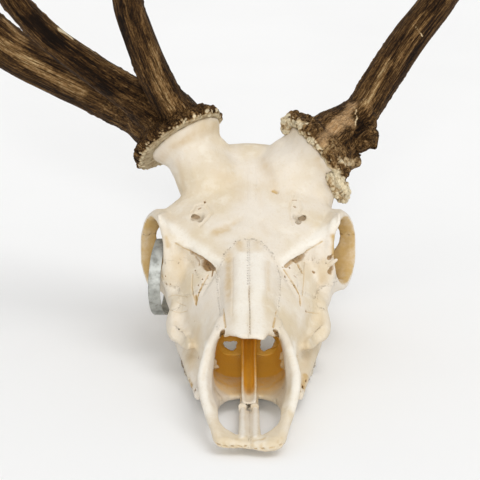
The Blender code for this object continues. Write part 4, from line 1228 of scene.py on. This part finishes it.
antlerRods = {  # for each side and length: places along it, in the skull's own millimetres, and its radius
    "right": {
        "beam": [
            (-60, 313, 174, 33), (-71, 322, 182, 31), (-88, 332, 191, 25.5), (-112.6, 345, 196.6, 20.8),
            (-140, 358, 206.5, 19.2), (-167, 370, 217, 19.2), (-215, 388, 239, 19.2),
            (-258, 402, 280, 18.5), (-293, 408, 340, 18), (-314, 402, 410, 18.5), (-324, 386, 484, 20),
            (-326, 366, 562, 17.5), (-320, 348, 640, 17), (-308, 332, 712, 19.5), (-296, 322, 765, 13),
            (-288, 316, 810, 9), (-281, 312, 850, 2.4),
        ],
        "brow": [
            (-57, 306, 188, 18), (-68.4, 287, 211, 14.4), (-79.4, 268, 237.2, 13.8), (-91, 248, 273.7, 13),
            (-97.8, 232, 302, 12.2), (-101, 208, 345, 10.4), (-100, 180, 392, 9), (-95, 152, 440, 6.2),
            (-90, 134, 474, 2.2),
        ],
        "bez": [
            (-72, 310, 192, 22), (-92.5, 300, 207.5, 17), (-117.8, 296, 225, 13.8),
            (-142.8, 292, 243.6, 12.4), (-167, 286, 264, 11.5), (-194.4, 278, 295.4, 10.6),
            (-218, 262, 340, 9.6), (-232, 240, 388, 6.4), (-236, 224, 422, 2.2),
        ],
        "trez": [
            (-323, 388, 482, 17), (-332, 350, 506, 13), (-340, 304, 542, 11), (-343, 258, 590, 8.4),
            (-340, 228, 636, 5), (-337, 214, 664, 2.2),
        ],
        "front": [
            (-309, 336, 706, 16), (-310, 300, 744, 12), (-311, 268, 786, 9.4), (-309, 246, 826, 5.4),
            (-307, 238, 850, 2.2),
        ],
        "inner": [(-306, 334, 716, 15), (-276, 346, 758, 11), (-248, 354, 796, 8), (-229, 357, 828, 2.2)],
    },
    "left": {
        "beam": [
            (64, 308, 161, 31), (74, 316, 171, 24.5), (97.6, 330, 190.2, 16), (112.8, 343, 210.6, 15.8),
            (138.6, 362, 245.8, 15.8), (168, 380, 281, 15.2), (202.5, 396, 333, 15.6),
            (235, 405, 400, 17.5), (266, 404, 470, 19.5), (290, 394, 545, 17.5), (304, 378, 620, 17),
            (309, 362, 686, 19), (306, 348, 742, 13), (297, 335, 796, 9), (288, 327, 840, 2.3),
        ],
        "trez": [
            (265, 404, 466, 17), (277, 368, 487, 12.6), (286, 322, 520, 11), (290, 282, 566, 8),
            (288, 256, 612, 2.2),
        ],
        "rear": [(306, 364, 680, 15), (325, 374, 730, 12), (340, 383, 776, 8), (349, 389, 812, 2.2)],
        "drop": [
            (70, 277, 152, 7), (73, 279, 144, 7.5), (77, 282, 136, 8), (81, 286, 128.5, 7),
            (82.5, 288, 122, 4.5),
        ],
    },
}
antlerDetail = {
    "voxel": 0.0013,
    "baseVoxel": 0.92,  # share of it in the pieces with the burr
    "swell": 0.0002,
    "smoothing": 9,
    "reach": (4.0, 1.2),  # how far a piece is drawn to the skin, before and after its burr is refined
    "blend": 3.0,  # softness of the forks
    "groove": 0.75,  # depth of the long grooves
    "nodules": 1.0,  # small bumps where the antler is rough
}
burrDetail = {  # zones are levels along the burr's axis, and a share of its radius
    "clear": (20, 34),  # level from which the antler follows its rods
    "beside": (14, 26),  # and the same sideways, beyond the radius
    "far": 90,
    "refined": (-46, 18, 0.74),
    "pearled": (-48, 27, 0.7),
    "calm": (8, 22),
    "pearl": 2.1,  # radius of a pearl
    "height": 1.5,
    "apart": 3.0,
    "sizes": (0.45, 1.35),
    "lumps": 1.8,
    "crumbs": 1.1,
}


def curveThrough(stations, steps=6):
    rows = np.array(stations, float)
    rows[:, :3] += skullShift
    before = np.vstack([2 * rows[0] - rows[1], rows, 2 * rows[-1] - rows[-2]])
    made = []
    for i in range(1, len(rows)):
        p0, p1, p2, p3 = before[i - 1 : i + 3]
        for k in range(steps):
            t = k / steps
            bend = 2 * p1 + (p2 - p0) * t + (2 * p0 - 5 * p1 + 4 * p2 - p3) * t**2
            made.append(0.5 * (bend + (3 * p1 - p0 - 3 * p2 + p3) * t**3))
    made.append(rows[-1])
    return np.array(made)


def rodData(stations):
    rows = curveThrough(stations)
    steps = np.diff(rows[:, :3], axis=0)
    length = np.linalg.norm(steps, axis=1)
    travelled = np.concatenate([[0], np.cumsum(length)])
    ahead = steps / length[:, None]
    side = np.cross(ahead[0], (0.3, 1.0, 0.1))
    sides = []
    for direction in ahead:
        side = side - direction * (side @ direction)
        side = side / np.linalg.norm(side)
        sides.append(side)
    return {"rows": rows, "length": length, "travelled": travelled, "ahead": ahead, "sides": np.array(sides)}


def nearRod(rod, places):
    # signed distance to the rod's surface, the way out of it, and the place in the rod's own grain
    best = np.full(len(places), 1e9)
    out = np.zeros((len(places), 3))
    grain = np.zeros((len(places), 3))
    for i, direction in enumerate(rod["ahead"]):
        a, b = rod["rows"][i], rod["rows"][i + 1]
        t = np.clip((places - a[:3]) @ direction / rod["length"][i], 0, 1)
        offset = places - a[:3] - t[:, None] * (b[:3] - a[:3])
        distance = np.linalg.norm(offset, axis=1)
        signed = distance - (a[3] + (b[3] - a[3]) * t)
        closer = signed < best
        best[closer] = signed[closer]
        out[closer] = (offset / np.maximum(distance, 1e-6)[:, None])[closer]
        side = rod["sides"][i]
        other = np.cross(direction, side)
        whole = np.stack([offset @ side, offset @ other, rod["travelled"][i] + t * rod["length"][i]], axis=1)
        grain[closer] = whole[closer]
    return best, out, grain


def allRods(rods, places):
    k = antlerDetail["blend"]
    near = [nearRod(rod, places) for rod in rods]
    depths = np.array([n[0] for n in near])
    lowest = depths.min(axis=0)
    weights = np.exp(-(depths - lowest) / k)
    total = weights.sum(axis=0)
    value = lowest - k * np.log(total)
    out = sum(w[:, None] * n[1] for w, n in zip(weights, near)) / total[:, None]
    winner = depths.argmin(axis=0)
    grain = np.array([near[winner[i]][2][i] + (0, 0, 900.0 * winner[i]) for i in range(len(places))])
    rival = np.sort(depths, axis=0)[1] - lowest
    return value, out, grain, rival


def antlerSkin(side, nodes):
    rods = [rodData(stations) for stations in antlerRods[side].values()]
    skin = copyOf(nodes, "antler_skin")
    remeshed(skin, antlerDetail["swell"], antlerDetail["voxel"])
    burr = burrs[side]
    inner, outer = burrDetail["beside"]
    for _ in range(2):
        places = points(skin)
        level, radial, _ = burrPlace(burr, places)
        free = soft(radial, burr["radius"] + inner, burr["radius"] + outer)
        free = np.maximum(soft(level, *burrDetail["clear"]), free)
        far = np.linalg.norm(places - burrFrame(burr)[0], axis=1) > burrDetail["far"]
        value, out, _, _ = allRods(rods, places)
        move = np.clip(value, -2.5, 2.5) * np.where(far, 1.0, free)
        setPoints(skin, places - out * move[:, None])
    applyModifier(skin, "SMOOTH", factor=0.5, iterations=antlerDetail["smoothing"])
    return skin, treeOf(skin), rods


antlerMarks = {  # path in pixels, width, field, amount
    "right": [
        ([(152, 48), (160, 78), (170, 106)], 9, "tan", 0.75), ([(143, 10), (148, 40)], 8, "tan", 0.25),
        ([(120, 20), (130, 60), (142, 90)], 7, "tan", -0.5),
        ([(110, 66), (125, 74), (140, 84)], 7, "tan", 0.35),
        ([(150, 95), (165, 120), (180, 130)], 14, "tan", -0.25),
        ([(2, 46), (24, 58), (50, 76), (80, 92)], 11, "tan", 0.85), ([(4, 20), (24, 40)], 6, "tan", 0.9),
        ([(30, 20), (70, 54), (110, 90)], 10, "tan", -0.7), ([(20, 6), (60, 44)], 7, "tan", -0.4),
        ([(60, 50), (100, 80)], 5, "tan", 0.35), ([(59, 29.5), (66, 34), (72, 38.5)], 3.2, "cream", 0.8),
        ([(76, 41), (86, 48), (97, 55)], 1.6, "cream", 0.45), ([(4, 22), (16, 32)], 3.5, "cream", 0.25),
    ],
    "left": [
        ([(364, 106), (377, 82), (388, 62)], 7, "tan", 0.75),
        ([(396, 66), (412, 38), (424, 14)], 8, "tan", 0.45),
        ([(440, 4), (424, 40), (400, 80)], 6, "tan", -0.3), ([(386, 30), (410, 6)], 8, "tan", -0.5),
        ([(415, 26), (418, 30), (422.5, 36)], 0.9, "cream", 0.6),
        ([(321, 140), (331, 130)], 8, "scar", 0.8), ([(333, 128), (344, 120)], 13, "scar", 0.95),
        ([(346, 115), (353, 106)], 8, "scar", 0.8),
        ([(364, 106), (369, 116), (372, 128), (370, 136)], 10, "swell", 4.5),
        ([(368, 150), (362, 158), (354, 164)], 7, "swell", 2),
        ([(330, 150), (340, 148), (352, 142)], 14, "tan", 0.55),
        ([(300, 126), (312, 128), (318, 140)], 8, "tan", 0.25),
        (
            [(353.6, 107), (356.4, 110), (355.4, 114), (357.4, 118), (355.8, 121), (355.4, 125)],
            1.1, "cream", 0.62,
        ),
        ([(362, 120), (358, 134), (346, 146)], 5, "tan", -0.7), ([(377, 118), (370, 140)], 8, "tan", 0.35),
        ([(284, 122), (292, 124), (303, 126)], 8, "cream", 0.85),
        ([(303, 138), (312, 150), (322, 162), (329, 176)], 8, "cream", 1.1),
        ([(334, 174), (343, 186), (350, 196), (348, 204)], 10, "cream", 1.2),
        ([(338, 160), (350, 163), (362, 160), (372, 150)], 7, "cream", 0.7),
    ],
}


def onRim(burr, level, radial, zone):
    low, high, share = zone
    return (level > low) & (level < high) & (radial > burr["radius"] * share)


def pearlSpots(places, level, radial, burr):
    # pearls strewn over the burr's rim, each clear of its neighbours
    rng = np.random.default_rng(burr["seed"])
    rim = np.where(onRim(burr, level, radial, burr["rim"]))[0]
    rng.shuffle(rim)
    chosen = np.zeros((0, 3))
    apart = burrDetail["apart"] * burr["size"]
    for i in rim[:6000]:
        if not len(chosen) or np.linalg.norm(chosen - places[i], axis=1).min() > apart:
            chosen = np.vstack([chosen, places[i]])
    return chosen, rng.uniform(*burrDetail["sizes"], len(chosen)) * burr["size"]


def burrRelief(burr, places, outer, level, radial):
    # the pearls on the rim and the crumbs under it: how far they stand out, and their cream
    spots, sizes = pearlSpots(places[outer], level[outer], radial[outer], burr)
    found = nearestPlaces(spots)
    dome = np.zeros(len(places))
    for i in np.where(onRim(burr, level, radial, burrDetail["pearled"]))[0]:
        _, j, distance = found.find(places[i])
        radius = burrDetail["pearl"] * sizes[j]
        dome[i] = max(0.0, 1 - (distance / radius) ** 2) ** 0.5 * sizes[j]
    pearl = np.clip(dome, 0, 1)
    wild = burr["wild"] * soft(radial, burr["radius"] * 0.76, burr["radius"] * 0.95) * soft(-level, -26, -14)
    crumbs = lumpy(places, 3.3, 42)
    push = dome * burrDetail["height"] * burr["pearls"] - 0.3 * (dome > 0)
    push += wild * (burrDetail["lumps"] * lumpy(places, 6.5, 41) + burrDetail["crumbs"] * crumbs)
    under = soft(-level, -2.4, 0.2)
    cream = np.maximum(under * (0.78 + 0.2 * crumbs), pearl**1.5 * soft(-level, -5.5, -2) * 0.85)
    return push, cream * (1 - 0.4 * burr["wild"] * (1 - pearl)), dome, wild


def shapeAntler(node, side, skinTree, rods):
    burr = burrs[side]
    isBase = node.endswith("base")
    piece = copyOf([node], node + "_surface")
    remeshed(piece, laying["swell"], antlerDetail["voxel"] * (antlerDetail["baseVoxel"] if isBase else 1))
    first, last = antlerDetail["reach"]
    settle(piece, skinTree, first)
    if isBase:
        level, radial, _ = burrPlace(burr, points(piece))
        refine(piece, onRim(burr, level, radial, burrDetail["refined"]))
    normals, outer, _ = settle(piece, skinTree, last)
    places = points(piece)
    _, _, grain, rival = allRods(rods, places)
    level, radial, _ = burrPlace(burr, places)
    calm = soft(rival, 0.5, 8)
    if isBase:
        calm = calm * soft(level, *burrDetail["calm"])
    thick = np.hypot(grain[:, 0], grain[:, 1])
    calm = calm * soft(thick, 2.0, 8.0)
    long = grain * (1, 1, 0.07)
    ridge = 0.55 * lumpy(long, 3.4, 11) + 0.45 * lumpy(long * (1, 1, 1.6), 1.9, 12)
    push = antlerDetail["groove"] * ridge * (0.35 + 0.65 * calm)
    rough = soft(lumpy(places, 30, 31), -0.2, 0.4) if not isBase else 0.8
    push += antlerDetail["nodules"] * np.maximum(lumpy(places, 3.0, 32), 0) * rough
    cream, dome, wild = np.zeros((3, len(places)))
    if isBase:
        stands, cream, dome, wild = burrRelief(burr, places, outer, level, radial)
        push += stands
    fields = {"tan": 0.25 * (dome + wild), "scar": np.zeros(len(places)), "cream": cream, "ridge": ridge}
    for path, width, field, amount in antlerPaths[side]:
        spread = distanceTo(path, places) * (1 + 0.35 * lumpy(long, 4, 21) + 0.25 * lumpy(places, 7, 22))
        felt = amount * (1 - soft(spread, 0.2 * width, width))
        if field == "swell":
            push += felt
        elif field == "tan":
            fields["tan"] += felt
        else:
            if field == "cream" and width > 5:
                felt = felt * (0.58 + 0.42 * np.clip(dome, 0, 1) + 0.4 * lumpy(places, 2.6, 42))
            fields[field] = np.maximum(fields[field], felt)
    push *= 1 - 0.8 * fields["scar"]
    places[outer] += (normals * push[:, None])[outer]
    places[:, 2] = np.maximum(places[:, 2], 0.0)
    setPoints(piece, places)
    for name, values in {"grain": grain, **fields}.items():
        writeField(piece, name, values)
    wearLook(piece, antlerLook, "antler", node)
    return piece


antlerPaths = {}
for side in ("right", "left"):
    nodes = sorted(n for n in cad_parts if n.startswith("antler_" + side))
    skin, skinTree, rods = antlerSkin(side, nodes)
    report(f"{side} antler skin with {len(skin.data.polygons)} faces")
    antlerPaths[side] = laidOn(skinTree, antlerMarks[side])
    for node in nodes:
        made = shapeAntler(node, side, skinTree, rods)
        report(f"{node}: {len(made.data.polygons)} faces")
    bpy.data.objects.remove(skin)


# The band in the eye socket

bandEdge = {"round": 0.0003, "segments": 3}
band = copyOf(["tag_band"], "tag_band_surface")
applyModifier(band, "BEVEL", width=bandEdge["round"], segments=bandEdge["segments"], limit_method="ANGLE")
applyModifier(band, "SUBSURF", levels=1, render_levels=1)
wearLook(band, bandLook, "band_metal", "tag_band")
report("band")


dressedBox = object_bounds()
boxes = {"frame": [list(corner) for corner in plainBox], "dressed": [list(corner) for corner in dressedBox]}
report(f"size {boxes}")
